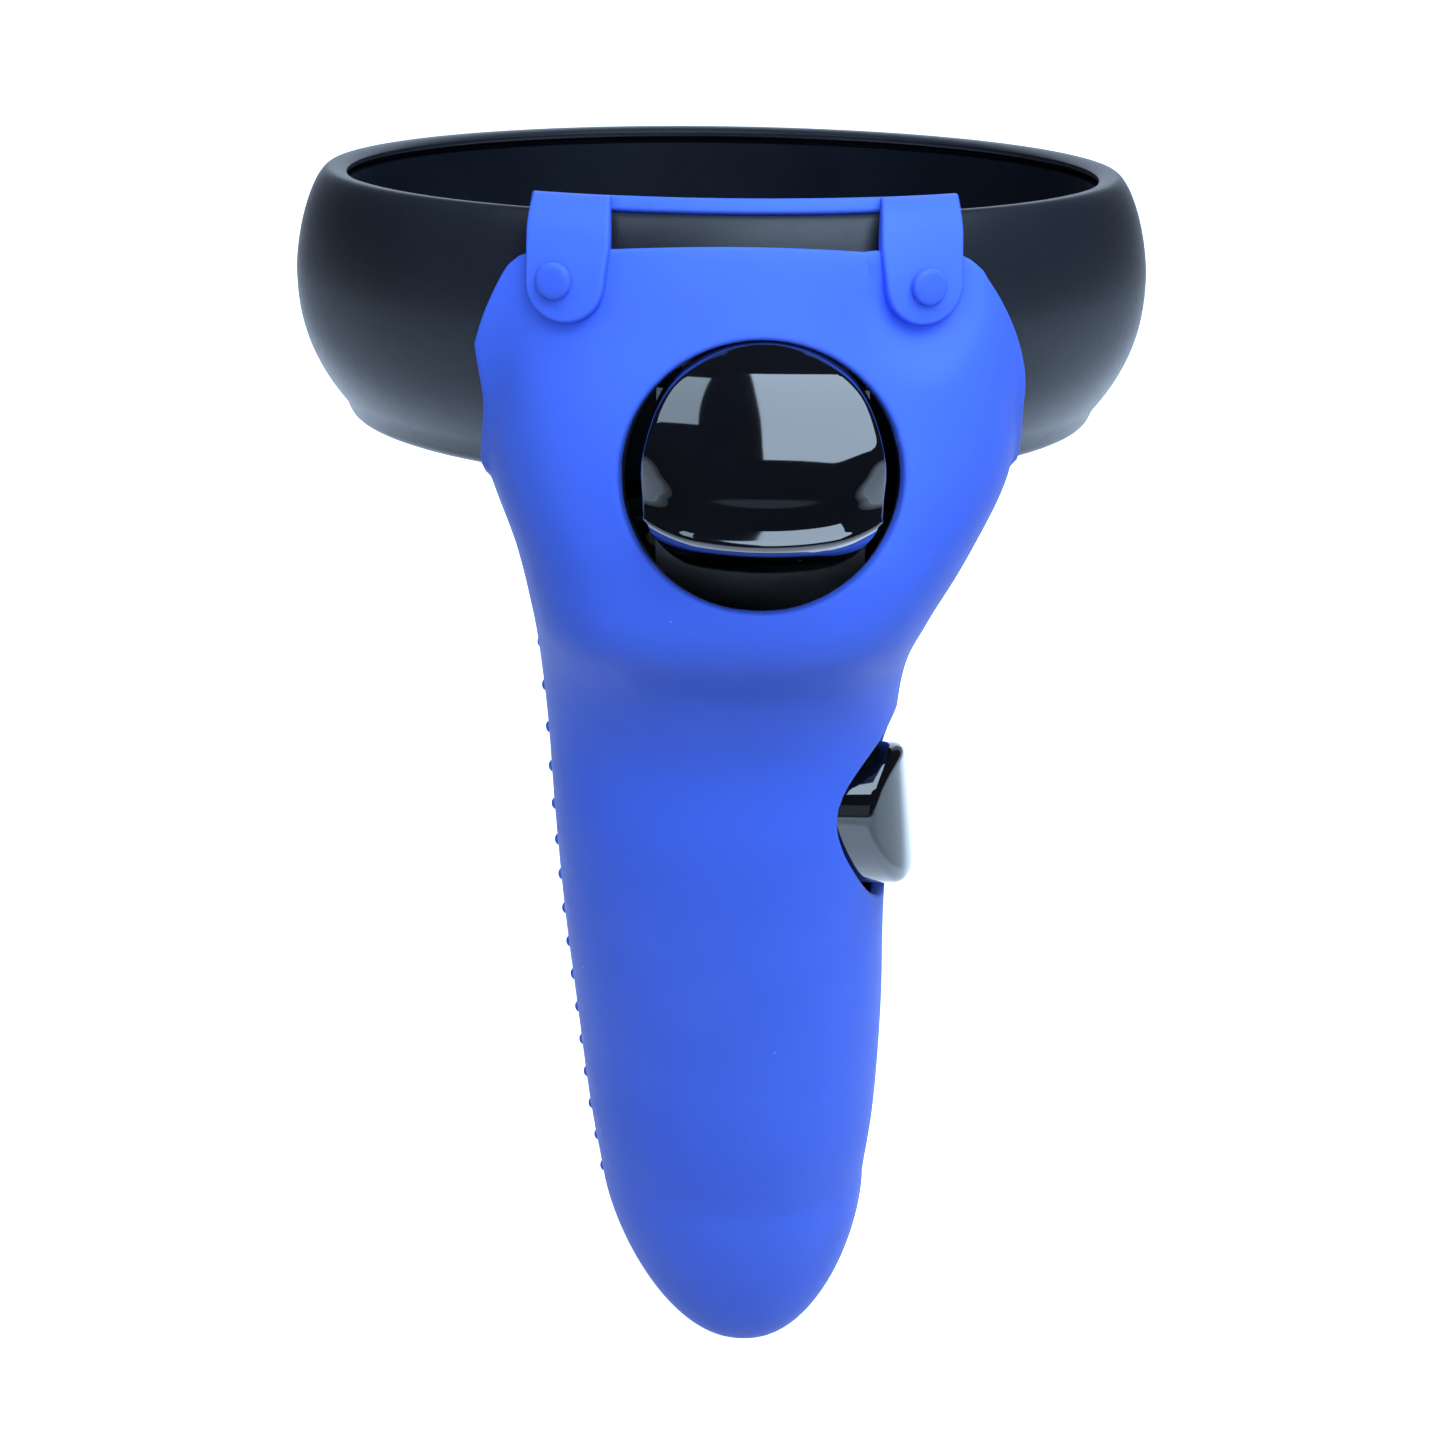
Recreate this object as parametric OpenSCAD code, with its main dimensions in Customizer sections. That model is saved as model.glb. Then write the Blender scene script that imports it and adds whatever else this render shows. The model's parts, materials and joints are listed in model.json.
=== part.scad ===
// Motion controller for the right hand: a halo ring over a thumb face, a handle with a trigger,
// a grip button and a battery, and a silicone sleeve buckled over the ring's front.
// Millimetres. The origin is the ring's centre at its widest line, +Z is the ring's axis, the
// trigger faces -Y and the grip button faces +X.

/* [Halo ring] */
// Outer diameter of the ring at its widest line
ring_d = 94; // [90:1:113]
// Height of the crown above the widest line
crown_h = 11; // [10:0.5:13.5]
// Depth of the band below the widest line
skirt_h = 16; // [15:0.5:17]
// Wall of the ring's outer skin
ring_wall = 1.8; // [1.2:0.1:2.2]
// Number of tracking lights inside the band
led_count = 15; // [9:1:21]

/* [Head and handle] */
// Width of the head over the sleeve
head_w = 55.2; // [54:0.2:66.4]
// Width of the handle over the sleeve
handle_w = 36; // [36:0.5:43.5]
// Length of the handle below the neck
handle_len = 85.6; // [84:0.2:103]
// Wall of the moulded shells
shell_wall = 1.8; // [1.4:0.1:2]
// Gap between pieces that seat on each other
seat_gap = 0.1; // [0.06:0.01:0.14]

/* [Sleeve] */
// Thickness of the silicone sleeve
sleeve_t = 1.6; // [1.2:0.1:2]
// Width of the two strap tabs
tab_w = 6.9; // [5.6:0.1:8.3]
// Diameter of the stud heads that hold the tabs
stud_d = 3.6; // [3:0.1:4.4]

/* [Face controls] */
// Tilt of the face plate towards the user
face_tilt = 24; // [22:1:26]
// Diameter of the two thumb buttons
button_d = 8.6; // [7:0.2:10.4]
// Travel of the two thumb buttons
button_travel = 1; // [0.6:0.1:1]
// Diameter of the thumbstick's cap
stick_cap_d = 15.2; // [12.6:0.2:15.6]
// Travel of the thumbstick when it is pressed
stick_travel = 0.4; // [0.3:0.05:0.4]

/* [Trigger] */
// Diameter of the trigger
trigger_d = 24.2; // [20:0.2:24.4]
// Diameter of the trigger's pin
trigger_pin_d = 2; // [1.6:0.1:2.4]

/* [Grip button] */
// Length of the grip button along the handle's side
grip_l = 21.6; // [18:0.2:22]
// Height of the grip button
grip_h = 18.8; // [15.6:0.2:19.2]

/* [Battery] */
// Diameter of the cell
cell_d = 14.5; // [12:0.1:14.6]
// Length of the cell over its button
cell_len = 50.5; // [42:0.5:51]

/* [Lanyard eye] */
// Diameter of the lanyard's bore
eye_bore_d = 3; // [2.4:0.1:3.6]
// Width of the eye along its bore
eye_w = 3.5; // [2.8:0.1:4.2]

/* [Hidden] */
$fn = 64;

// ---- Ring outline -------------------------------------------------------------------------
ring_r = ring_d / 2;
crown_run = 3.8;                            // from the crown line out to the widest line
skirt_run = 4.9;                            // how far the skirt draws in towards the bottom
band_power = 1.24;
skirt_power = 2.37;
lip_h = 0.6;                                // drop of the inner lip below the crown
bottom_round = 2;
inner_wall = 1.6;
lip_low = skirt_h - bottom_round + 0.2;       // top of the outer skin's bottom lip, below the widest line
inner_top_r = ring_r - 5.8;
inner_low_r = ring_r - 8.7;
window_top = 3.2;                           // the front window in the outer skin, for the trigger
window_w = trigger_d + 6;

// A point on the band's outside; turn runs from 0 at the crown to 90 at the widest line
function crown_pt(turn, grow) = [
    ring_r - crown_run + (crown_run + grow) * pow(sin(turn), band_power),
    (crown_h + grow) * pow(cos(turn), band_power)];
// A point on the band's outside below the widest line; t runs from 0 to 1
function skirt_pt(t, grow) = [
    ring_r + grow - skirt_run * pow(t, skirt_power),
    -(skirt_h - bottom_round) * t];
function crown_line(grow) = [for (turn = [0 : 10 : 90]) crown_pt(turn, grow)];
function skirt_line(grow) = [for (i = [1 : 8]) skirt_pt(i / 8, grow)];
function backwards(list) = [for (i = [len(list) - 1 : -1 : 0]) list[i]];
// Radius of the ring's inside face at a height
function wall_r(z) = inner_low_r
    + (inner_top_r - inner_low_r) * (z + skirt_h) / (crown_h - lip_h + skirt_h);

// ---- Body outline -------------------------------------------------------------------------
// Everything but the ring is drawn with y measured back from the ring's foremost point.
// Each station: height, centre x, half width, front y, back y, squareness
head_k = head_w / 55.2;
grip_k = handle_w / 36;
neck_z = -46;
function down(share) = neck_z - share * handle_len;
stations = [
    [16, 2.0, 19.0 * head_k, 3.0, 38.0, 3.0],
    [8, 2.3, 23.0 * head_k, -0.3, 37.5, 3.0],
    [0, 2.6, 26.0 * head_k, -2.2, 40.0, 2.9],
    [-8, 3.0, 27.6 * head_k, -4.6, 47.0, 2.8],
    [-16, 3.1, 27.2 * head_k, -6.6, 52.5, 2.6],
    [-24, 2.7, 24.0 * head_k, -7.5, 55.6, 2.7],
    [-31, 1.6, 21.3 * head_k, -5.8, 56.8, 2.8],
    [-38, 0.8, 19.8 * grip_k, 1.4, 50.5, 2.5],
    [neck_z, 0.7, 18.9 * grip_k, 6.4, 43.0, 2.3],
    [down(0.13), 0.9, 18.5 * grip_k, 8.8, 44.2, 2.25],
    [down(0.28), 1.25, 18.1 * grip_k, 12.6, 48.8, 2.2],
    [down(0.44), 2.0, 17.7 * grip_k, 17.2, 53.4, 2.2],
    [down(0.6), 2.5, 16.9 * grip_k, 21.6, 56.4, 2.2],
    [down(0.72), 2.75, 15.75 * grip_k, 25.7, 57.6, 2.2]];
last = len(stations) - 1;
row_steps = 3;                              // rows between two stations
heel_rows = 7;
sides = 36;
heel_shift = [1.65, 5.7, -4.35];            // drift of the heel's centre: x, y, and y squared
heel_power = 1.6;

// A smooth curve through four values
function through(p, t) = 0.5 * (2 * p[1] + (p[2] - p[0]) * t
    + (2 * p[0] - 5 * p[1] + 4 * p[2] - p[3]) * t * t
    + (3 * p[1] - p[0] - 3 * p[2] + p[3]) * t * t * t);
function station(i) = i < 0 ? 2 * stations[0] - stations[1]
    : i > last ? 2 * stations[last] - stations[last - 1] : stations[i];
function body_row(u) = let (i = min(floor(u), last - 1))
    through([station(i - 1), station(i), station(i + 1), station(i + 2)], u - i);
function heel_row(turn) = let (
        t = sin(turn),
        s = stations[last],
        shrink = sqrt(max(0, 1 - pow(t, heel_power))),
        mid = (s[3] + s[4]) / 2 + heel_shift[1] * t + heel_shift[2] * t * t,
        half = (s[4] - s[3]) / 2 * shrink)
    [s[0] + (neck_z - handle_len - s[0]) * t, s[1] + heel_shift[0] * t, s[2] * shrink,
     mid - half, mid + half, s[5]];
// u runs from 0 at the top to last at the heel's start, and on to last + 1 at the tip
function row(u) = u <= last ? body_row(u) : heel_row(90 * (u - last));
function skin_pt(u, angle) = let (
        r = row(u),
        c = cos(angle),
        s = sin(angle),
        reach = pow(pow(abs(c), r[5]) + pow(abs(s), r[5]), -1 / r[5]))
    [r[1] + r[2] * reach * c, (r[3] + r[4]) / 2 + (r[4] - r[3]) / 2 * reach * s, r[0]];
function unit(v) = v / norm(v);
// The same point moved inwards, square to the skin
function inset_pt(u, angle, depth) = let (
        nudge = 0.03,
        below = min(u + nudge, last + 0.97),
        along = skin_pt(below, angle) - skin_pt(below - 2 * nudge, angle),
        around = skin_pt(u, angle + 1) - skin_pt(u, angle - 1))
    skin_pt(u, angle) + depth * unit(cross(around, along));
levels = concat(
    [for (i = [0 : last * row_steps]) i / row_steps],
    [for (i = [1 : heel_rows - 1]) last + i / heel_rows]);
tip_row = heel_row(90);
function skin_points(depth) = [for (u = levels, j = [0 : sides - 1]) inset_pt(u, 360 * j / sides, depth)];
function tip_point(depth) = [tip_row[1], tip_row[3], tip_row[0] + depth];
skin_count = len(levels) * sides;
function quad(a, b, c, d) = [[a, b, c], [a, c, d]];
// Faces of one skin whose points start at index s and whose tip is point t
function skin_faces(s, t) = concat(
    [for (k = [0 : len(levels) - 2], j = [0 : sides - 1])
        let (a = s + k * sides + j, b = s + k * sides + (j + 1) % sides)
        each quad(a, b, b + sides, a + sides)],
    [for (j = [0 : sides - 1])
        let (a = s + skin_count - sides)
        [a + j, a + (j + 1) % sides, t]]);
function flipped(faces) = [for (f = faces) [f[2], f[1], f[0]]];

// The whole body filled in, its skin moved inwards by depth
module body_solid(depth) {
    polyhedron(
        concat(skin_points(depth), [tip_point(depth)]),
        concat(skin_faces(0, skin_count), [[for (j = [sides - 1 : -1 : 0]) j]]));
}

// A wall of the body between two depths, open at the top
module body_wall(outside, inside) {
    polyhedron(
        concat(skin_points(outside), skin_points(inside), [tip_point(outside), tip_point(inside)]),
        concat(
            skin_faces(0, 2 * skin_count),
            flipped(skin_faces(skin_count, 2 * skin_count + 1)),
            [for (j = [0 : sides - 1])
                let (b = (j + 1) % sides)
                each quad(j, skin_count + j, skin_count + b, b)]));
}

shell_out = sleeve_t + seat_gap;            // the shells lie under the sleeve
shell_in = shell_out + shell_wall;

// ---- Places -------------------------------------------------------------------------------
face_at = [3, 31, -20];
stick_at = [-9.6, 1.5];
stick_depth = 8.6;                            // the stick's pivot below the face
button_a_at = [9.5, 5.2];
button_b_at = [9.5, -6.8];
system_at = [2, 14];
trigger_x = 4.35;
trigger_z = -12.6;
pivot_at = [trigger_x, 2.7, trigger_z + trigger_d / 2 - 2.7]; // the trigger's pin
hole_lean = 8.9;                            // the trigger's hole faces a little upwards
hole_r = trigger_d / 2 + 1.2;
grip_at = [8, 23.4, down(0.1332)];
grip_lean = 20;                             // the grip button's front end is the higher one
grip_gap = 0.8;
grip_pin_at = [10.6, 34.1, grip_at[2] - 0.6];
handle_tilt = atan(27.8 / handle_len);      // the handle leans back by as much however long it is
cell_at = [-0.6, 34, down(0.397)];
cradle_wall = 4.4 - shell_in;               // what the shell leaves room for
cradle_r = cell_d / 2 + 0.2 + cradle_wall;
eye_at = [3, 58.2, down(0.902)];
eye_r = eye_bore_d / 2 + 2.1;
eye_root = 5.55 + 1.5 * shell_in;           // how far the eye reaches into the handle
// Each screw: x, height, y of the seam between its two bosses
screws = [[-9.5, -47.8, 30], [4, -47.8, 30], [3, down(0.8154), 42]];
screw_l = 9;                                // thread below the seam
seat_l = 4;                                 // from the seam to the seat of the screw's head
screw_r = 0.95;
head_r = 2;
head_h = 1.2;
boss_r = 2.4;
// The seam between the two shells, seen from the side: y, height
seam = [[24, 20], [24, -20], [26, neck_z], [26.5, down(0.13)], [39, down(0.6)], [43, down(0.78)],
    [43, down(1.1)]];

module in_body() translate([0, -ring_r, 0]) children();
module on_face() translate(face_at) rotate([-face_tilt, 0, 0]) children();
module on_stick() on_face() translate([stick_at[0], stick_at[1], -stick_depth]) children();
module on_cell() translate(cell_at) rotate([handle_tilt, 0, 0]) children();
// A side view drawn as (y, z), thickened along x
module from_side(w) rotate([90, 0, 90]) linear_extrude(w, center = true) children();

function oval(half_w, half_h, power) = [for (angle = [0 : 10 : 350])
    let (reach = pow(pow(abs(cos(angle)), power) + pow(abs(sin(angle)), power), -1 / power))
    [half_w * reach * cos(angle), half_h * reach * sin(angle)]];

// ---- Cutters ------------------------------------------------------------------------------
module band(grow, out = 0) {
    rotate_extrude($fn = 96) polygon(concat(
        [[inner_top_r - grow, crown_h - lip_h + grow]],
        crown_line(grow + out),
        skirt_line(grow + out),
        [[ring_r - 5.6 + grow + out, -skirt_h + 0.4 - grow],
         [inner_low_r + inner_wall + out, -skirt_h - grow],
         [inner_low_r - grow, -skirt_h - grow]]));
}

module window(grow) {
    translate([trigger_x - window_w / 2 - grow, -12, -skirt_h - 4])
        cube([window_w + 2 * grow, 22, skirt_h + 4 + window_top + grow]);
}

module above_face(lift) {
    intersection() {
        on_face() translate([0, 0, 30 + lift]) cube([120, 140, 60], center = true);
        translate([0, ring_r, -60]) cylinder(r = inner_low_r + 3.2, h = 120, $fn = 96);
    }
}

module trigger_hole(r, l = 22) {
    translate([trigger_x - 0.1, -5.5, trigger_z - 0.2])
        rotate([90 - hole_lean, 0, 0]) cylinder(r = r, h = l, center = true, $fn = 96);
}

module grip_outline(grow) {
    translate([grip_at[1], grip_at[2]]) rotate(-grip_lean) polygon(oval(grip_l / 2 + grow, grip_h / 2 + grow, 2.1));
}

module grip_hole(grow) {
    translate([grip_at[0] + 12, 0, 0]) from_side(24) grip_outline(grow);
}

module front_half(gap) {
    from_side(120) polygon(concat(
        [for (p = seam) [p[0] - gap, p[1]]],
        [[-30, down(1.1)], [-30, 20]]));
}

module rear_half(gap) {
    from_side(120) polygon(concat(
        [for (p = seam) [p[0] + gap, p[1]]],
        [[90, down(1.1)], [90, 20]]));
}

module door_zone(grow) {
    on_cell() translate([-7.5 - grow, 5, -24 - grow]) cube([15 + 2 * grow, 26, 46 + 2 * grow]);
}

module eye_slot(grow) {
    translate([eye_at[0] - eye_w / 2 - grow, eye_at[1] - eye_root - grow, eye_at[2] - eye_r - grow])
        cube([eye_w + 2 * grow, eye_root + 4, 2 * (eye_r + grow)]);
}

// ---- Wire springs -------------------------------------------------------------------------
wire_sides = 6;
// A wire swept along a path; across is a direction that the path never runs along
module wire(path, r, across) {
    n = len(path);
    frames = [for (i = [0 : n - 1]) let (
            run = unit(path[min(i + 1, n - 1)] - path[max(i - 1, 0)]),
            u = unit(cross(run, across)))
        [u, cross(u, run)]];
    points = [for (i = [0 : n - 1], j = [0 : wire_sides - 1])
        path[i] + r * (cos(360 * j / wire_sides) * frames[i][0] + sin(360 * j / wire_sides) * frames[i][1])];
    polyhedron(points, concat(
        [[for (j = [0 : wire_sides - 1]) j]],
        [[for (j = [wire_sides - 1 : -1 : 0]) (n - 1) * wire_sides + j]],
        [for (i = [0 : n - 2], j = [0 : wire_sides - 1])
            let (a = i * wire_sides + j, b = i * wire_sides + (j + 1) % wire_sides)
            each quad(a, a + wire_sides, b + wire_sides, b)]));
}

function helix(r, turns, pitch, low_r = 0) = [for (i = [0 : turns * 12])
    let (rr = low_r > 0 ? r + (low_r - r) * i / (turns * 12) : r)
    [rr * cos(30 * i), rr * sin(30 * i), pitch * i / 12]];

// ---- Ring ---------------------------------------------------------------------------------
module ring_outer_shell() {
    color([0.24, 0.28, 0.36]) difference() {
        rotate_extrude($fn = 96) polygon(concat(
            [[inner_top_r + seat_gap, crown_h - lip_h], [ring_r - 4.8, crown_h - 0.1]],
            crown_line(0),
            skirt_line(0),
            [[ring_r - 5.6, -skirt_h + 0.4],
             [wall_r(-skirt_h) + inner_wall + seat_gap, -skirt_h],
             [wall_r(-lip_low) + inner_wall + seat_gap, -lip_low]],
            backwards(skirt_line(-ring_wall)),
            backwards(crown_line(-ring_wall)),
            [[inner_top_r + seat_gap, crown_h - ring_wall]]));
        in_body() window(0);
    }
}

module ring_inner_shell() {
    top = crown_h - ring_wall - seat_gap;
    color([0.05, 0.06, 0.09]) rotate_extrude($fn = 96) polygon([
        [wall_r(-skirt_h), -skirt_h],
        [wall_r(-skirt_h) + inner_wall, -skirt_h],
        [wall_r(top) + inner_wall, top],
        [wall_r(top), top]]);
}

strip_r = ring_r - 4.3;
strip_t = 0.25;
module ring_led_strip() {
    color([0.75, 0.5, 0.2]) difference() {
        rotate_extrude($fn = 96) translate([strip_r, -5.5]) square([strip_t, 11]);
        in_body() window(1.5);
    }
}

module tracking_leds() {
    arc = 300;
    color([0.85, 0.87, 0.95]) for (i = [0 : led_count - 1])
        rotate(-60 + arc * i / (led_count - 1))
            translate([strip_r + strip_t + 0.02, -1.1, i % 2 == 0 ? 1.6 : -3])
                cube([1, 2.2, 1.4]);
}

// ---- Shells and sleeve --------------------------------------------------------------------
module trigger_well() {
    translate([trigger_x - 0.1, -1.6, trigger_z - 0.2]) rotate([90 - hole_lean, 0, 0])
        cylinder(r = hole_r + 1.2, h = 7, $fn = 96);
}

// Two ribs across the front shell, which the battery's cradle lies in
module cradle_saddles() {
    intersection() {
        on_cell() for (z = [-0.3, 0.3]) translate([0, 0, z * cell_len]) difference() {
            translate([-20, -20, -0.6]) cube([40, 19, 1.2]);
            cylinder(r = cradle_r + seat_gap / 2, h = 3, center = true);
        }
        front_half(seat_gap / 2);
    }
}

module boss(s, from, to, r) translate([s[0], from, s[1]]) rotate([-90, 0, 0]) cylinder(r = r, h = to - from);

module front_shell() {
    color([0.06, 0.07, 0.09]) in_body() difference() {
        union() {
            intersection() {
                body_wall(shell_out, shell_in);
                front_half(seat_gap / 2);
                translate([-60, -30, -160]) cube([120, 120, 160 + window_top - 0.2]);
            }
            intersection() {
                body_solid(shell_out + 0.3);
                union() {
                    for (s = screws) boss(s, 0, s[2] - seat_gap, boss_r);
                    trigger_well();
                    cradle_saddles();
                }
            }
        }
        difference() {
            translate([0, ring_r, 0]) band(seat_gap, 2.2);
            window(-0.2);
        }
        above_face(0);
        trigger_hole(hole_r);
        translate([trigger_x - ear_out - 0.7, pivot_at[1] - ear_r - 0.2, pivot_at[2] - 5])
            cube([2 * ear_out + 1.4, 9, ear_r + 5.2]);
        grip_hole(grip_gap);
        for (s = screws) boss(s, s[2] - screw_l, s[2] + 1, screw_r + 0.05);
    }
}

module rear_shell() {
    color([0.06, 0.07, 0.09]) in_body() difference() {
        union() {
            intersection() {
                body_wall(shell_out, shell_in);
                rear_half(seat_gap / 2);
            }
            intersection() {
                body_solid(shell_out + 0.3);
                for (s = screws) boss(s, s[2], 70, boss_r + 0.6);
            }
        }
        translate([0, ring_r, 0]) band(seat_gap, 2.2);
        above_face(0);
        grip_hole(grip_gap);
        door_zone(0.15);
        eye_slot(0.1);
        for (s = screws) {
            boss(s, s[2] - 1, 70, screw_r + 0.2);
            boss(s, s[2] + seat_l, 70, head_r + 0.25);
        }
    }
}

module battery_door() {
    color([0.08, 0.09, 0.11]) in_body() intersection() {
        body_wall(shell_out, shell_in);
        door_zone(0);
    }
}

module case_screws() {
    color([0.6, 0.6, 0.62]) in_body() for (s = screws) {
        boss(s, s[2] - screw_l + 0.5, s[2] + seat_l + head_h / 2, screw_r);
        boss(s, s[2] + seat_l, s[2] + seat_l + head_h, head_r);
    }
}

tab_x = [-15.1, 19.9];
stud_at = [[-15.8, 5.1], [20.6, 4.8]];
tab_low = 1.1;
flap_t = 1.5;
lip_t = 1;
// How far the strap stands off the ring: on the band at the crown, on the sleeve lower down
function stand_off(turn) = let (t = min(1, turn / 45)) seat_gap + (sleeve_t + 0.05) * t * t * (3 - 2 * t);
function strap_line(extra) = [for (turn = [0 : 10 : 90]) crown_pt(turn, stand_off(turn) + extra)];

module strap_over_crown() {
    rotate_extrude($fn = 96) polygon(concat(
        strap_line(flap_t),
        backwards(strap_line(0)),
        [[ring_r - 4.8, crown_h + seat_gap],
         [inner_top_r - seat_gap, crown_h - lip_h + seat_gap],
         [wall_r(crown_h - 2.5) - seat_gap, crown_h - 2.5],
         [wall_r(crown_h - 2.5) - seat_gap - flap_t, crown_h - 2.5],
         [inner_top_r - seat_gap - flap_t + 0.4, crown_h + 0.7],
         [inner_top_r - seat_gap, crown_h + flap_t]]));
}

module strap_inside() {
    low = -12;
    high = crown_h + 0.9;
    rotate_extrude($fn = 96) polygon([
        [wall_r(low) - seat_gap, low],
        [wall_r(crown_h - lip_h) - seat_gap, crown_h - lip_h],
        [wall_r(crown_h - lip_h) - seat_gap, high],
        [wall_r(crown_h - lip_h) - seat_gap - flap_t, high],
        [wall_r(low) - seat_gap - flap_t, low]]);
}

module stud(at) {
    reach = ring_r + sleeve_t + flap_t;
    turn = atan2(at[0], ring_r);
    translate([0, ring_r, at[1]]) rotate(turn) rotate([90, 0, 0]) {
        cylinder(r = stud_d / 2 - 0.7, h = reach + 0.3);
        translate([0, 0, reach - 0.55]) cylinder(r = stud_d / 2, h = 1.1);
    }
}

module strap() {
    intersection() {
        translate([0, ring_r, 0]) strap_over_crown();
        for (x = tab_x) union() {
            translate([x - tab_w / 2, -10, tab_low + tab_w / 2]) cube([tab_w, 30, 20]);
            translate([x, -10, tab_low + tab_w / 2]) rotate([-90, 0, 0]) cylinder(d = tab_w, h = 30);
        }
    }
    intersection() {
        translate([0, ring_r, 0]) strap_inside();
        translate([tab_x[0] - tab_w / 2, -10, -20]) cube([tab_x[1] - tab_x[0] + tab_w, 30, 50]);
        on_face() translate([0, 0, 30 + 0.05]) cube([120, 140, 60], center = true);
    }
    for (at = stud_at) difference() {
        stud(at);
        translate([0, ring_r, -20]) cylinder(r = ring_r + 0.6, h = 60, $fn = 96);
    }
}

// The sleeve's rim, which lies on the face round its opening
module face_lip() {
    difference() {
        intersection() {
            on_face() translate([0, 0, 0.05 + lip_t / 2]) cube([80, 80, lip_t], center = true);
            body_solid(0.1);
            translate([0, ring_r, -60]) cylinder(r = inner_low_r - seat_gap, h = 90, $fn = 96);
        }
        on_face() translate([0, 0, -3]) linear_extrude(10) polygon(oval(20.6, 21.4, 2.15));
    }
}

module silicone_sleeve() {
    arch_r = 180;
    arch_top = 8.2;
    color([0.25, 0.39, 0.94]) in_body() {
        difference() {
            body_wall(0, sleeve_t);
            translate([0, ring_r, 0]) band(seat_gap);
            above_face(lip_t);
            trigger_hole(hole_r + 0.2);
            grip_hole(grip_gap + 0.3);
            eye_slot(0.4);
            difference() {
                translate([-60, -30, 0]) cube([120, 120, 30]);
                translate([2.5, -40, arch_top - arch_r]) rotate([-90, 0, 0])
                    cylinder(r = arch_r, h = 140, $fn = 360);
            }
        }
        face_lip();
        strap();
    }
}

module lanyard_eye() {
    color([0.1, 0.1, 0.12]) in_body() difference() {
        union() {
            translate([eye_at[0], 0, 0]) from_side(eye_w) union() {
                translate([eye_at[1], eye_at[2]]) circle(r = eye_r);
                translate([eye_at[1] - eye_root, eye_at[2] - eye_r]) square([eye_root, 2 * eye_r]);
            }
            translate([eye_at[0] - 3.3, eye_at[1] - eye_root, eye_at[2] - 0.6]) cube([6.6, 1.5, eye_r + 0.6]);
        }
        translate(eye_at) rotate([0, 90, 0]) cylinder(d = eye_bore_d, h = eye_w + 1, center = true);
    }
}

// ---- Face ---------------------------------------------------------------------------------
plate_t = 1.8;
skirt_ball = 10.2;
button_flange = 0.9;
system_d = 6;
system_travel = 0.5;
stem_low = -3.6;
sheet_low = -5.8;

module face_plate() {
    color([0.05, 0.05, 0.07]) in_body() difference() {
        intersection() {
            on_face() translate([0, 0, -plate_t / 2]) cube([80, 80, plate_t], center = true);
            body_solid(shell_in + 0.15);
            translate([0, ring_r, -60]) cylinder(r = inner_low_r - 0.3, h = 90, $fn = 96);
        }
        on_stick() sphere(r = skirt_ball + 0.25);
        on_face() for (hole = [[button_a_at, button_d], [button_b_at, button_d], [system_at, system_d]])
            translate([hole[0][0], hole[0][1], -plate_t - 1])
                cylinder(d = hole[1] + 0.6, h = plate_t + 2);
    }
}

// A button with a rounded top and a flange that keeps it under the plate
module push_button(at, d, stand) {
    in_body() on_face() translate([at[0], at[1], 0]) rotate_extrude() polygon([
        [0, stem_low], [d / 2 + button_flange, stem_low], [d / 2 + button_flange, -plate_t - 0.5],
        [d / 2, -plate_t - 0.5], [d / 2, stand - 0.5], [d / 2 - 0.2, stand - 0.15],
        [d / 2 - 0.6, stand], [0, stand + 0.15]]);
}

module button_a() color([0.07, 0.07, 0.08]) push_button(button_a_at, button_d, 1.3);
module button_b() color([0.07, 0.07, 0.08]) push_button(button_b_at, button_d, 1.3);
module system_button() color([0.1, 0.1, 0.11]) push_button(system_at, system_d, 0.7);

// Silicone sheet with a collapsing dome under each button
module button_membrane() {
    color([0.85, 0.85, 0.8]) in_body() on_face() union() {
        for (at = [button_a_at, button_b_at, system_at]) {
            translate([at[0], at[1], sheet_low]) cylinder(d = button_d + 1.4, h = 0.9);
            translate([at[0], at[1], sheet_low]) cylinder(r1 = 3.4, r2 = 2.2, h = stem_low - sheet_low - 0.05);
        }
        translate([button_a_at[0] - 3, button_b_at[1], sheet_low])
            cube([6, button_a_at[1] - button_b_at[1], 0.9]);
        translate([system_at[0], system_at[1], sheet_low])
            rotate(atan2(button_a_at[1] - system_at[1], button_a_at[0] - system_at[0]))
                translate([0, -2, 0]) cube([11, 4, 0.9]);
    }
}

board_t = 1.2;
module main_board() {
    board_top = sheet_low - 0.05;
    color([0.05, 0.3, 0.15]) in_body() on_face() difference() {
        union() {
            translate([0, 0, board_top - board_t]) cylinder(r = 21.1 - shell_in, h = board_t);
            translate([5, -4, board_top - board_t - 1]) cube([7, 7, 1.2]);
            translate([3.2, 6, board_top - board_t - 0.8]) cube([4, 5, 1]);
            translate([13, -6, board_top - board_t - 1.4]) cube([2.5, 8, 1.6]);
        }
        translate([stick_at[0], stick_at[1], -20]) cylinder(r = skirt_ball + 0.7, h = 30);
    }
}

chassis_top = -15.1;
module chassis() {
    post_at = [[8.9, 9], [8.9, -9], [2.6, -12.2]];
    color([0.35, 0.36, 0.38]) in_body() on_face() difference() {
        union() {
            translate([-1.9, 0, chassis_top - 1.1]) linear_extrude(1.1) polygon(oval(18.3 - shell_in, 17.7 - shell_in, 2.4));
            for (at = post_at)
                translate([at[0] - 1.4, at[1] - 1.4, chassis_top - 1])
                    cube([2.8, 2.8, sheet_low - board_t - 0.1 - chassis_top + 1]);
        }
        translate([9, 0, chassis_top - 2]) cylinder(r = 3, h = 3);
    }
}

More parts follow.
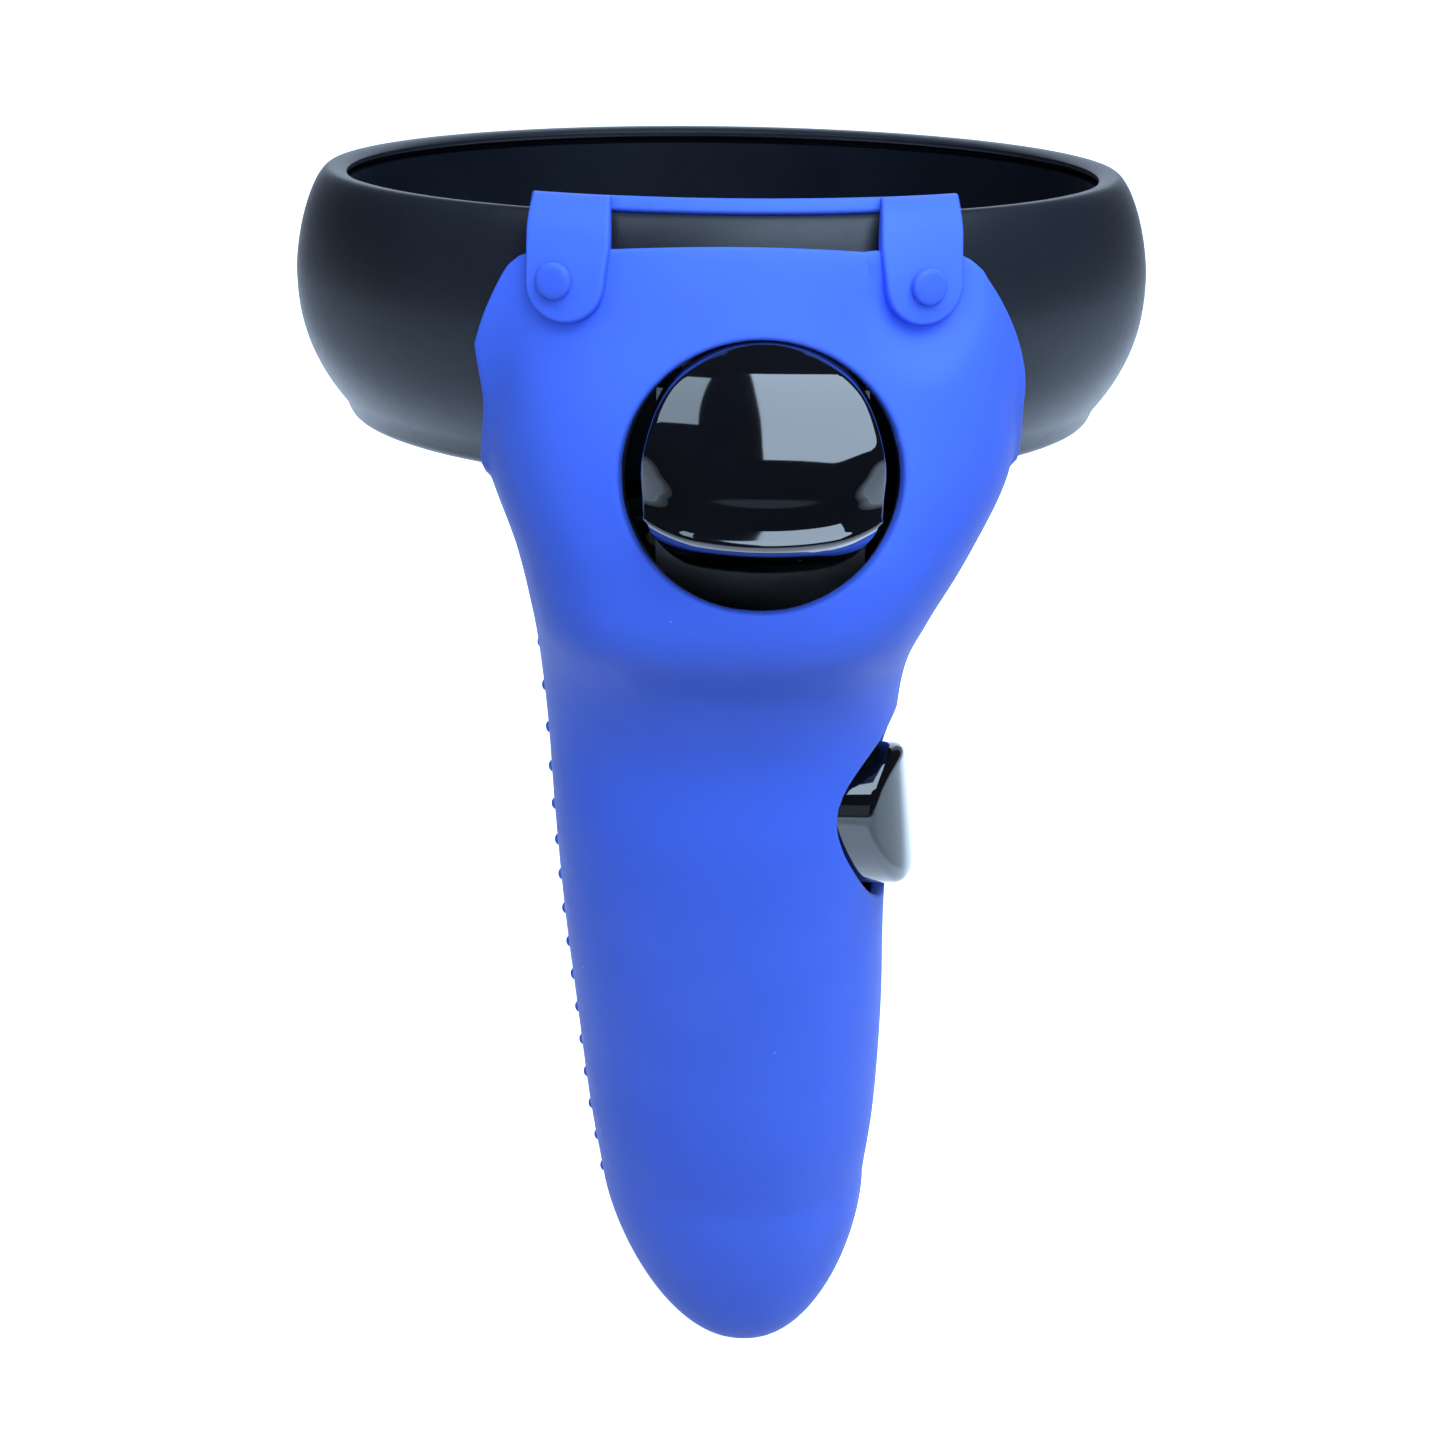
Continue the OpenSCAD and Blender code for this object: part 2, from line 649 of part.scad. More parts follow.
module haptic_motor() {
    color([0.7, 0.7, 0.72]) in_body() on_face() translate([-3, 3, chassis_top - 1.2 - 3.6]) {
        cylinder(r = 5, h = 3.6);
        translate([-1.2, 4, 0]) cube([2.4, 3, 0.8]);
    }
}

// ---- Thumbstick ---------------------------------------------------------------------------
// Drawn about the pivot: yoke x carries the stick and turns about x, yoke y is the slotted arch
// over it and turns about y.
box_half = 7.8;
box_wall = 1;
box_low = -6;
box_high = 1.6;
yoke_pin_r = 0.9;
pin_gap = 0.05;
arch_out = 6.2;
arch_in = 5.2;

module stick_housing() {
    inner = box_half - box_wall;
    color([0.12, 0.12, 0.13]) in_body() on_stick() difference() {
        translate([-box_half, -box_half, box_low]) cube([2 * box_half, 2 * box_half, box_high - box_low]);
        translate([-inner, -inner, box_low + box_wall]) cube([2 * inner, 2 * inner, 20]);
        for (turn = [0, 90]) rotate(turn) rotate([0, 90, 0])
            cylinder(r = yoke_pin_r + pin_gap, h = 3 * box_half, center = true);
    }
}

module stick_yoke_x() {
    color([0.85, 0.85, 0.85]) in_body() on_stick() difference() {
        union() {
            translate([-4.2, -2.9, -1.5]) cube([8.4, 5.8, 3]);
            translate([-box_half + 0.1, 0, 0]) rotate([0, 90, 0]) cylinder(r = yoke_pin_r, h = 2 * box_half + 1);
        }
        translate([-3.2, -1.9, -4]) cube([6.4, 3.8, 8]);
        rotate([90, 0, 0]) cylinder(r = 0.7 + pin_gap, h = 12, center = true);
    }
}

module stick_yoke_y() {
    slot = 1.65;
    slot_reach = 3.6;
    color([0.8, 0.8, 0.82]) in_body() on_stick() difference() {
        union() {
            intersection() {
                rotate([0, 90, 0]) difference() {
                    cylinder(r = arch_out, h = 4.8, center = true);
                    cylinder(r = arch_in, h = 6, center = true);
                }
                translate([-5, -10, 0]) cube([10, 20, 20]);
            }
            for (side = [-1, 1]) {
                translate([0, side * 5.7, 0]) rotate([90, 0, 0]) cylinder(r = 1.6, h = 1, center = true);
                translate([0, side * (arch_in + 1.3), 0]) rotate([90, 0, 0])
                    cylinder(r = yoke_pin_r, h = 2.5, center = true);
            }
            translate([0, box_half - 0.5, 0]) rotate([-90, 0, 0]) cylinder(r = yoke_pin_r, h = 1.5);
        }
        translate([-slot, -slot_reach, 0]) cube([2 * slot, 2 * slot_reach, 10]);
    }
}

shaft_low_r = 0.95;
shaft_r = 1.3;
module stick_pivot() {
    color([0.75, 0.75, 0.78]) in_body() on_stick() difference() {
        union() {
            translate([-1.6, -1.75, -1.3]) cube([3.2, 3.5, 2.6]);
            rotate([90, 0, 0]) cylinder(r = 0.7, h = 5.7, center = true);
        }
        cylinder(r = shaft_low_r + pin_gap, h = 10, center = true);
    }
}

cap_under = 13.4;
module stick_shaft() {
    color([0.9, 0.9, 0.9]) in_body() on_stick() union() {
        translate([0, 0, -3.2]) cylinder(r = shaft_low_r, h = 6);
        translate([0, 0, 1.3 + stick_travel + 0.2]) cylinder(r = shaft_r, h = cap_under - 3);
    }
}

module stick_cap() {
    shaft_top = 1.3 + stick_travel + 0.2 + cap_under - 3;
    cap_r = stick_cap_d / 2;
    thin = 0.7;
    skirt_turn = 50;
    color([0.06, 0.06, 0.07]) in_body() on_stick() rotate_extrude() polygon(concat(
        [[shaft_r + 0.02, skirt_ball - thin]],
        [for (turn = [10 : 5 : skirt_turn])
            [(skirt_ball - thin) * sin(turn), (skirt_ball - thin) * cos(turn)]],
        [for (turn = [skirt_turn : -5 : 15]) [skirt_ball * sin(turn), skirt_ball * cos(turn)]],
        [[2.2, skirt_ball + 0.3], [2.1, cap_under - 1], [3.2, cap_under - 0.2],
         [cap_r - 0.8, cap_under], [cap_r - 0.2, cap_under + 0.5], [cap_r, cap_under + 1.4],
         [cap_r - 0.1, cap_under + 2.3], [cap_r - 0.7, cap_under + 2.9], [cap_r - 1.5, cap_under + 3],
         [cap_r - 2.4, cap_under + 2.7], [cap_r * 0.4, cap_under + 2.3], [0, cap_under + 2.2],
         [0, shaft_top + 0.02], [shaft_r + 0.02, shaft_top + 0.02]]));
}

module stick_spring() {
    turns = 4;
    rest = 2.2;
    color([0.7, 0.7, 0.7]) in_body() on_stick() translate([0, 0, box_low + box_wall + 0.2])
        wire(helix(3.2, turns, (rest - 0.4) / turns), 0.18, [0, 0, 1]);
}

module stick_switch() {
    color([0.3, 0.3, 0.32]) in_body() on_stick() translate([0, 0, box_low + box_wall]) {
        translate([-2, -2, 0]) cube([4, 4, 0.8]);
        cylinder(r = 1.5, h = 1.2);
    }
}

module pot_body() {
    difference() {
        translate([box_half + 0.05, -4.5, -4.5]) cube([1.9, 9, 7]);
        rotate([0, 90, 0]) cylinder(r = yoke_pin_r + pin_gap, h = 30);
    }
}

module stick_pot_x() color([0.1, 0.25, 0.5]) in_body() on_stick() pot_body();
module stick_pot_y() color([0.1, 0.25, 0.5]) in_body() on_stick() rotate(90) pot_body();

// ---- Trigger ------------------------------------------------------------------------------
pin_r = trigger_pin_d / 2;
barrel_r = pin_r + 1.1;
barrel_half = 3.4;
ear_in = 6;
ear_out = 8;
ear_r = 2.2;
trigger_wall = 1.8;
// The trigger seen from its side: y, height
trigger_side = [
    [-1.8, 0.5], [-3.4, -0.6], [-6.4, -2.4], [-9.2, -5.2], [-11.4, -8.8], [-13.2, -12.6],
    [-14.3, -15.8], [-14.6, -17], [-14.3, -17.9], [-13, -18.8], [-8, -21.2], [-1.5, -23.2]];

module trigger_form(less) {
    intersection() {
        translate([trigger_x, 10, trigger_z]) rotate([90, 0, 0])
            cylinder(r = trigger_d / 2 - less, h = 40, $fn = 96);
        translate([trigger_x, 7.4, trigger_z - 0.4]) sphere(r = 22 - less, $fn = 96);
        translate([trigger_x, less * 1.2, less * 0.8]) from_side(40) polygon(concat(
            trigger_side,
            less > 0 ? [[8, -23.2], [8, 0.5]] : []));
    }
}

module trigger() {
    // From the pin to the blade, about the pin
    rib = [[-9.2, -2.8], [-6.7, -6.8], [0, -2], [-1.5, 1.5], [-4.7, 0.3]];
    color([0.03, 0.03, 0.04]) in_body() difference() {
        union() {
            difference() {
                trigger_form(0);
                trigger_form(trigger_wall);
            }
            for (side = [-1, 1]) translate(pivot_at + [side * 2.8, 0, 0]) from_side(1.2) polygon(rib);
            translate(pivot_at) rotate([0, 90, 0]) cylinder(r = barrel_r, h = 2 * barrel_half, center = true);
            translate([trigger_x, -12, -17]) rotate([-90, 0, 0]) cylinder(r = 2.2, h = 8.6);
        }
        translate(pivot_at) rotate([0, 90, 0]) cylinder(r = pin_r + 0.06, h = 30, center = true);
        translate([trigger_x, -5.1, -17]) rotate([-90, 0, 0]) cylinder(r = 1.52, h = 8);
    }
}

module trigger_pin() {
    color([0.75, 0.75, 0.77]) in_body() translate(pivot_at) rotate([0, 90, 0])
        cylinder(r = pin_r, h = 2 * ear_out + 0.8, center = true);
}

module trigger_magnet() {
    color([0.8, 0.8, 0.82]) in_body() translate([trigger_x, -5, -17]) rotate([-90, 0, 0]) cylinder(r = 1.5, h = 1.6);
}

module trigger_bracket() {
    plate_top = pivot_at[2] - 2.8;
    ear = [[pivot_at[1] - ear_r, pivot_at[2]], [pivot_at[1] - ear_r, plate_top - 1], [3, plate_top - 3],
        [5.4, plate_top - 3], [5.4, plate_top], [pivot_at[1] + ear_r, pivot_at[2] - 1.6],
        [pivot_at[1] + ear_r, pivot_at[2]]];
    ear_mid = (ear_in + ear_out) / 2;
    color([0.3, 0.31, 0.33]) in_body() difference() {
        union() {
            translate([trigger_x - 10.5, 4.4, -30]) cube([21, 1.1, 30 + plate_top]);
            translate([trigger_x - 6, 4.4, -30.4]) cube([12, 6.6, 1.2]);
            for (side = [-1, 1]) {
                translate([trigger_x + side * ear_mid, 0, 0]) from_side(ear_out - ear_in) polygon(ear);
                translate([trigger_x + side * ear_mid, pivot_at[1], pivot_at[2]]) rotate([0, 90, 0])
                    cylinder(r = ear_r, h = ear_out - ear_in, center = true);
            }
        }
        translate(pivot_at) rotate([0, 90, 0]) cylinder(r = pin_r + 0.02, h = 30, center = true);
    }
}

module trigger_spring() {
    coil_r = pin_r + 0.7;
    coil = [for (p = helix(coil_r, 3, 0.62)) [p[2], p[0], p[1]]];
    color([0.7, 0.7, 0.7]) in_body() translate(pivot_at + [barrel_half + 0.4, 0, 0])
        wire(concat([[0, coil_r - 0.5, -4.2]], coil, [[1.9, coil_r - 0.6, -5.5]]), 0.25, [1, 0, 0]);
}

module trigger_sensor() {
    color([0.1, 0.1, 0.1]) in_body() translate([trigger_x - 1.5, 3.5, -16.5]) cube([3, 0.85, 2.5]);
}

// ---- Grip button --------------------------------------------------------------------------
grip_face_r = 15;
grip_face_at = [6.6, 25, grip_at[2] + 1.4];
grip_face_lean = -6.3;
grip_wall = 2.2;
grip_inner_x = 11.2;
grip_arms = [grip_pin_at[2] - 4.6, grip_pin_at[2] + 3]; // undersides of the bracket's two arms

module grip_face(less) {
    translate(grip_face_at) rotate([0, grip_face_lean, 0])
        cylinder(r = grip_face_r - less, h = 60, center = true, $fn = 96);
}

module grip_button() {
    barrel_h = 5.6;
    spring_y = 19;
    color([0.03, 0.03, 0.04]) in_body() difference() {
        union() {
            difference() {
                intersection() {
                    translate([grip_inner_x + 10, 0, 0]) from_side(20) grip_outline(0);
                    grip_face(0);
                }
                intersection() {
                    translate([grip_inner_x + 8, 0, 0]) from_side(20) grip_outline(-1.8);
                    grip_face(grip_wall);
                }
            }
            translate([grip_pin_at[0], grip_pin_at[1], grip_pin_at[2] - barrel_h / 2]) cylinder(r = 1.5, h = barrel_h);
            translate([grip_pin_at[0], grip_pin_at[1] - 4.5, grip_pin_at[2] - barrel_h / 2]) cube([5.6, 4.5, barrel_h]);
            translate([13.6, spring_y, grip_at[2] + 1]) rotate([0, 90, 0]) cylinder(r = 2, h = 4.5);
        }
        translate(grip_pin_at) cylinder(r = 1.06, h = 60, center = true);
        for (z = grip_arms) translate([grip_pin_at[0], grip_pin_at[1], z - 0.2]) cylinder(r = 2.3, h = 2);
    }
}

module grip_pin() {
    color([0.75, 0.75, 0.77]) in_body() translate(grip_pin_at) cylinder(r = 1, h = 9.6, center = true);
}

module grip_bracket() {
    plate_x = 8;
    color([0.3, 0.31, 0.33]) in_body() difference() {
        union() {
            translate([plate_x, 14.8, grip_pin_at[2] - 5]) cube([1, 21.2, 10]);
            for (z = grip_arms) {
                translate([plate_x, grip_pin_at[1] - 2, z]) cube([grip_pin_at[0] - plate_x, 4, 1.6]);
                translate([grip_pin_at[0], grip_pin_at[1], z]) cylinder(r = 1.9, h = 1.6);
            }
        }
        translate(grip_pin_at) cylinder(r = 1.02, h = 60, center = true);
    }
}

module grip_spring() {
    turns = 5;
    color([0.7, 0.7, 0.7]) in_body() translate([9.4, 19, grip_at[2] + 1]) rotate([0, 90, 0])
        wire(helix(1.5, turns, 3.6 / turns), 0.2, [0, 0, 1]);
}

module grip_magnet() {
    color([0.8, 0.8, 0.82]) in_body() translate([14.2, 24, grip_at[2] - 2.6]) rotate([0, 90, 0]) cylinder(r = 1.4, h = 1.5);
}

module grip_sensor() {
    color([0.1, 0.1, 0.1]) in_body() translate([9.05, 22.8, grip_at[2] - 3.4]) cube([0.85, 2.4, 2.6]);
}

// ---- Battery ------------------------------------------------------------------------------
end_gap = 4.4;                              // room for the sprung contact
end_wall = 1.2;

module battery_cradle() {
    low = -cell_len / 2 - end_gap - end_wall;
    high = cell_len / 2 + 0.6 + end_wall;
    color([0.15, 0.15, 0.17]) in_body() on_cell() difference() {
        translate([0, 0, low]) cylinder(r = cradle_r, h = high - low);
        translate([0, 0, low + end_wall]) cylinder(r = cradle_r - cradle_wall, h = high - low - 2 * end_wall);
        translate([-cradle_r, 2.5, low + end_wall]) cube([2 * cradle_r, 20, high - low - 2 * end_wall]);
    }
}

module battery_cell() {
    nub_h = 1;
    color([0.85, 0.6, 0.2]) in_body() on_cell() union() {
        translate([0, 0, -cell_len / 2]) cylinder(d = cell_d, h = cell_len - nub_h);
        translate([0, 0, cell_len / 2 - nub_h - 0.5]) cylinder(r = 2.75, h = nub_h + 0.5);
    }
}

module contact_plus() {
    color([0.8, 0.75, 0.5]) in_body() on_cell() translate([-3, -3, cell_len / 2 + 0.05]) cube([6, 5, 0.4]);
}

module contact_spring() {
    turns = 4;
    color([0.8, 0.8, 0.78]) in_body() on_cell() translate([0, 0, -cell_len / 2 - end_gap + 0.35])
        wire(helix(4.2, turns, (end_gap - 0.8) / turns, 2.6), 0.3, [0, 0, 1]);
}

ring_outer_shell();
ring_inner_shell();
ring_led_strip();
tracking_leds();
front_shell();
rear_shell();
battery_door();
silicone_sleeve();
lanyard_eye();
case_screws();
face_plate();
button_a();
button_b();
system_button();
button_membrane();
main_board();
chassis();
haptic_motor();
stick_housing();
stick_yoke_x();
stick_yoke_y();
stick_pivot();
stick_shaft();
stick_cap();
stick_spring();
stick_switch();
stick_pot_x();
stick_pot_y();
trigger_bracket();
trigger();
trigger_pin();
trigger_spring();
trigger_magnet();
trigger_sensor();
grip_bracket();
grip_button();
grip_pin();
grip_spring();
grip_magnet();
grip_sensor();
battery_cradle();
battery_cell();
contact_plus();
contact_spring();
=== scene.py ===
"""A right-hand motion controller: halo ring, handle in a silicone sleeve, trigger, grip button and thumb face.

Shapes are worked out in millimetres. The ring's pieces are drawn about the ring's centre. The handle's pieces are
drawn with y measured back from the ring's foremost point, and moved into place when they are finished.
"""

import json
import logging
import math
from dataclasses import dataclass, field
from enum import Enum
from typing import Callable, Optional, Sequence

import bmesh
import bpy
from mathutils import Matrix, Vector


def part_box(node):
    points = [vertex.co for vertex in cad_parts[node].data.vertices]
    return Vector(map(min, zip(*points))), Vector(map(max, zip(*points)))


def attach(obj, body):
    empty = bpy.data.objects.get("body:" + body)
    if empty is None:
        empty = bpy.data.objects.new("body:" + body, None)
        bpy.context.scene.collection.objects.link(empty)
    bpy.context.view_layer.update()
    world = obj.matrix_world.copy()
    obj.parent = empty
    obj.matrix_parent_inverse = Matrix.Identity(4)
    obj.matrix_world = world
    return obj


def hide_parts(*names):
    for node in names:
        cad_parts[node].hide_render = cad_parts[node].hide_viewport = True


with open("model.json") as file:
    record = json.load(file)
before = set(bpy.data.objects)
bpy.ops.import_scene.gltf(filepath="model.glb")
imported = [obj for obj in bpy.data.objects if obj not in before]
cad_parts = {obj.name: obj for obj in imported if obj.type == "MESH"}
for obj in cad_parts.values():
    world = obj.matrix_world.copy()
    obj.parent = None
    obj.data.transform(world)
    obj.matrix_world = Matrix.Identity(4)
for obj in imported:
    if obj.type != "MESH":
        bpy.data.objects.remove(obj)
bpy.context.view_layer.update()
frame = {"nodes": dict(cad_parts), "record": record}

LOG = logging.getLogger("controller")
MM = 0.001
RING_R = (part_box("ring_inner_shell")[1].x / MM) + 4.45    # widest radius of the ring
BACK = Vector((0.0, -RING_R, 0.0))                        # from the handle's y to the ring's

SEAM_WELD = 0.004                                         # mm within which a grid's seam and poles are joined
ROUND_WELD = 1e-4                                         # the same for what is spun round an axis
ON_AXIS = 1e-6                                            # mm from an axis that still count as on it
DUST_MM = 7.0                                             # about how far apart dust specks lie
DUST_COLOUR = (0.75, 0.8, 0.95)
MIX_LOW, MIX_HIGH, MIX_COLOUR = 6, 7, 2                   # a colour mix node's inputs and output

Skin = Callable[[Vector], float]
Ease = Callable[[Vector, Vector], Vector]
Rim = Callable[[Vector, Vector, Vector], Sequence[Vector]]


# ---- Finishes -------------------------------------------------------------------------------

class Grain(Enum):
    """How a finish's fine texture is laid."""

    FINE = "fine"            # an even spark-eroded or moulded grain
    BRUSHED = "brushed"      # drawn out along one direction
    SMOOTH = "smooth"        # polished, with faint wipe marks


@dataclass(frozen=True)
class Finish:
    """One procedural finish: its colour with soft patches, its gloss and its fine relief."""

    name: str
    colour: tuple[float, float, float]
    patch: tuple[float, float, float]
    roughness: float
    spread: float = 0.05          # how far the roughness wanders either way
    metallic: float = 0.0
    specular: float = 0.5
    grain: Grain = Grain.FINE
    grain_mm: float = 0.3
    relief_mm: float = 0.012
    patch_mm: float = 14.0
    coat: float = 0.0
    glow_mm: float = 0.0          # how far light goes into the material
    glow: float = 0.0
    dust: float = 0.0             # radius of the dust specks, as a share of their spacing

    def build(self) -> bpy.types.Material:
        """Makes the finish's node tree.

        Returns:
            The material.
        """
        material = bpy.data.materials.new(self.name)
        material.use_nodes = True
        tree = material.node_tree
        nodes, link = tree.nodes, tree.links.new
        shader = nodes["Principled BSDF"]
        place = nodes.new("ShaderNodeTexCoord").outputs["Object"]

        mapping = nodes.new("ShaderNodeMapping")
        mapping.inputs["Scale"].default_value = (1.0, 1.0, 0.04 if self.grain is Grain.BRUSHED else 1.0)
        link(place, mapping.inputs["Vector"])

        def noise(size_mm: float, detail: float, source: bpy.types.NodeSocket) -> bpy.types.NodeSocket:
            """Returns a noise whose lumps are about size_mm across."""
            node = nodes.new("ShaderNodeTexNoise")
            node.inputs["Scale"].default_value = 1.0 / (size_mm * MM)
            node.inputs["Detail"].default_value = detail
            link(source, node.inputs["Vector"])
            return node.outputs["Fac"]

        def mix(low: tuple[float, float, float], high: tuple[float, float, float],
                share: bpy.types.NodeSocket) -> bpy.types.Node:
            """Returns a node that goes from one colour to another."""
            node = nodes.new("ShaderNodeMix")
            node.data_type = "RGBA"
            node.inputs[MIX_LOW].default_value = (*low, 1.0)
            node.inputs[MIX_HIGH].default_value = (*high, 1.0)
            link(share, node.inputs[0])
            return node

        def span(source: bpy.types.NodeSocket, **ends: float) -> bpy.types.NodeSocket:
            """Returns a value carried from one range to another; ends not given are 0 and 1."""
            node = nodes.new("ShaderNodeMapRange")
            for end, value in ends.items():
                node.inputs[end.replace("_", " ").title()].default_value = value
            link(source, node.inputs["Value"])
            return node.outputs["Result"]

        soft = span(noise(self.patch_mm, 2.0, place), from_min=0.35, from_max=0.65)
        colour = mix(self.colour, self.patch, soft)

        if self.dust > 0:
            cells = nodes.new("ShaderNodeTexVoronoi")
            cells.inputs["Scale"].default_value = 1.0 / (DUST_MM * MM)
            link(place, cells.inputs["Vector"])
            speck = span(cells.outputs["Distance"], from_min=self.dust, from_max=self.dust * 0.5, to_max=0.5)
            dusty = mix(self.colour, DUST_COLOUR, speck)
            link(colour.outputs[MIX_COLOUR], dusty.inputs[MIX_LOW])
            colour = dusty
        link(colour.outputs[MIX_COLOUR], shader.inputs["Base Color"])

        smear_mm = 5.0 if self.grain is Grain.SMOOTH else self.grain_mm * 6
        rough = span(noise(smear_mm, 4.0, mapping.outputs["Vector"]),
                     to_min=max(0.02, self.roughness - self.spread), to_max=self.roughness + self.spread)
        link(rough, shader.inputs["Roughness"])

        bump = nodes.new("ShaderNodeBump")
        bump.inputs["Strength"].default_value = 0.6
        bump.inputs["Distance"].default_value = self.relief_mm * MM
        link(noise(self.grain_mm, 3.0, mapping.outputs["Vector"]), bump.inputs["Height"])
        link(bump.outputs["Normal"], shader.inputs["Normal"])

        shader.inputs["Metallic"].default_value = self.metallic
        shader.inputs["Specular IOR Level"].default_value = self.specular
        if self.coat > 0:
            shader.inputs["Coat Weight"].default_value = self.coat
            shader.inputs["Coat Roughness"].default_value = 0.04
        if self.glow > 0:
            shader.inputs["Subsurface Weight"].default_value = self.glow
            shader.inputs["Subsurface Radius"].default_value = (0.25, 0.4, 1.0)
            shader.inputs["Subsurface Scale"].default_value = self.glow_mm * MM
        return material


FINISHES: tuple[Finish, ...] = (
    Finish("silicone", (0.066, 0.148, 0.790), (0.078, 0.168, 0.840), 0.52, 0.06, specular=0.1, grain_mm=0.5,
           relief_mm=0.008, patch_mm=26.0, glow=0.12, glow_mm=1.6, dust=0.02),
    Finish("ring_plastic", (0.009, 0.010, 0.015), (0.012, 0.014, 0.020), 0.40, 0.05, specular=0.34, grain_mm=0.16,
           relief_mm=0.016, patch_mm=20.0),
    Finish("ring_inside", (0.0035, 0.005, 0.009), (0.005, 0.007, 0.012), 0.45, 0.06, specular=0.12, grain_mm=0.2,
           relief_mm=0.012),
    Finish("shell_plastic", (0.004, 0.005, 0.008), (0.006, 0.007, 0.011), 0.45, specular=0.25, grain_mm=0.2),
    Finish("face_plastic", (0.008, 0.009, 0.013), (0.012, 0.014, 0.019), 0.38, 0.08, grain_mm=0.18, relief_mm=0.014),
    Finish("control_plastic", (0.012, 0.013, 0.017), (0.017, 0.018, 0.023), 0.24, 0.05, grain=Grain.SMOOTH,
           relief_mm=0.004),
    Finish("gloss_black", (0.0022, 0.0026, 0.0042), (0.003, 0.0036, 0.0055), 0.045, 0.02, specular=0.6,
           grain=Grain.SMOOTH, grain_mm=2.4, relief_mm=0.0012, coat=0.6),
    Finish("stick_rubber", (0.011, 0.012, 0.014), (0.016, 0.017, 0.020), 0.62, 0.06, grain_mm=0.22, relief_mm=0.02),
    Finish("module_plastic", (0.016, 0.016, 0.018), (0.022, 0.022, 0.025), 0.5),
    Finish("membrane_silicone", (0.60, 0.60, 0.55), (0.66, 0.65, 0.60), 0.5, glow=0.2, glow_mm=1.0),
    Finish("circuit_board", (0.012, 0.085, 0.040), (0.018, 0.120, 0.055), 0.32, 0.1, grain_mm=0.7, patch_mm=1.6,
           relief_mm=0.03, coat=0.3),
    Finish("flex_circuit", (0.42, 0.19, 0.04), (0.50, 0.24, 0.06), 0.35, 0.08, grain_mm=0.5, patch_mm=1.4),
    Finish("led_lens", (0.62, 0.66, 0.78), (0.70, 0.74, 0.84), 0.12, 0.04, grain=Grain.SMOOTH, relief_mm=0.004),
    Finish("nylon", (0.62, 0.62, 0.60), (0.68, 0.68, 0.66), 0.45, glow=0.15, glow_mm=0.8),
    Finish("sensor_epoxy", (0.010, 0.010, 0.011), (0.016, 0.016, 0.017), 0.4, grain_mm=0.15),
    Finish("pot_plastic", (0.012, 0.045, 0.20), (0.016, 0.055, 0.24), 0.4),
    Finish("frame_alloy", (0.42, 0.43, 0.45), (0.48, 0.49, 0.51), 0.42, 0.1, metallic=1.0, grain_mm=0.5,
           relief_mm=0.02),
    Finish("steel", (0.55, 0.55, 0.57), (0.62, 0.62, 0.63), 0.28, 0.08, metallic=1.0, grain=Grain.BRUSHED,
           grain_mm=0.12),
    Finish("magnet_plate", (0.60, 0.60, 0.62), (0.66, 0.66, 0.67), 0.18, 0.06, metallic=1.0, grain=Grain.SMOOTH),
    Finish("contact_metal", (0.62, 0.52, 0.28), (0.70, 0.60, 0.34), 0.3, 0.08, metallic=1.0, grain=Grain.BRUSHED,
           grain_mm=0.12),
    Finish("cell_wrap", (0.62, 0.27, 0.035), (0.70, 0.32, 0.05), 0.25, 0.05, grain=Grain.SMOOTH, coat=0.4),
)


class Finishes:
    """Every finish as a material, made once and looked up by its slot's name."""

    def __init__(self) -> None:
        """Builds all the materials."""
        self.made = {finish.name: finish.build() for finish in FINISHES}

    def __getitem__(self, slot: str) -> bpy.types.Material:
        """Returns the material of a slot."""
        return self.made[slot]


# ---- Mesh work ------------------------------------------------------------------------------

@dataclass
class Bench:
    """Turns finished meshes into pieces of the object."""

    finishes: Finishes
    pieces: int = 0

    def finish(self, name: str, mesh: bmesh.types.BMesh, body: str, slot: str, stands_for: Sequence[str] = (),
               shift: Vector = BACK, crease: float = 40.0) -> bpy.types.Object:
        """Moves a mesh into place and makes it a piece that rides on a body.

        Args:
            name: The piece's name.
            mesh: Its shape in millimetres; it is used up.
            body: The body it moves with.
            slot: The material slot whose finish it wears.
            stands_for: The CAD nodes it replaces.
            shift: From the coordinates it is drawn in to the ring's.
            crease: Edges sharper than this many degrees are shaded as edges.

        Returns:
            The piece.
        """
        bmesh.ops.translate(mesh, verts=mesh.verts, vec=shift)
        bmesh.ops.scale(mesh, verts=mesh.verts, vec=(MM, MM, MM))
        piece = to_object(name, mesh)
        piece.data.set_sharp_from_angle(angle=math.radians(crease))
        piece.data.materials.append(self.finishes[slot])
        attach(piece, body)
        if stands_for:
            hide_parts(*stands_for)
        self.pieces += 1
        LOG.info("%s: %d faces on %s", name, len(piece.data.polygons), body)
        return piece


def smoothly(values: Sequence[float], t: float) -> float:
    """A smooth curve through four values, between the middle two.

    Args:
        values: Four values.
        t: 0 at the second value, 1 at the third.

    Returns:
        The value at t.
    """
    a, b, c, d = values
    return 0.5 * (2 * b + (c - a) * t + (2 * a - 5 * b + 4 * c - d) * t * t + (3 * b - a - 3 * c + d) * t ** 3)


def along(points: Sequence[tuple[float, float]], share: float) -> tuple[float, float]:
    """A point on the smooth curve through a list of points.

    Args:
        points: The points of the curve, in two coordinates.
        share: 0 at the first point, 1 at the last.

    Returns:
        The point on the curve.
    """
    last = len(points) - 1
    i = min(int(share * last), last - 1)
    four = [points[max(0, min(last, i + k))] for k in (-1, 0, 1, 2)]
    t = share * last - i
    return smoothly([p[0] for p in four], t), smoothly([p[1] for p in four], t)


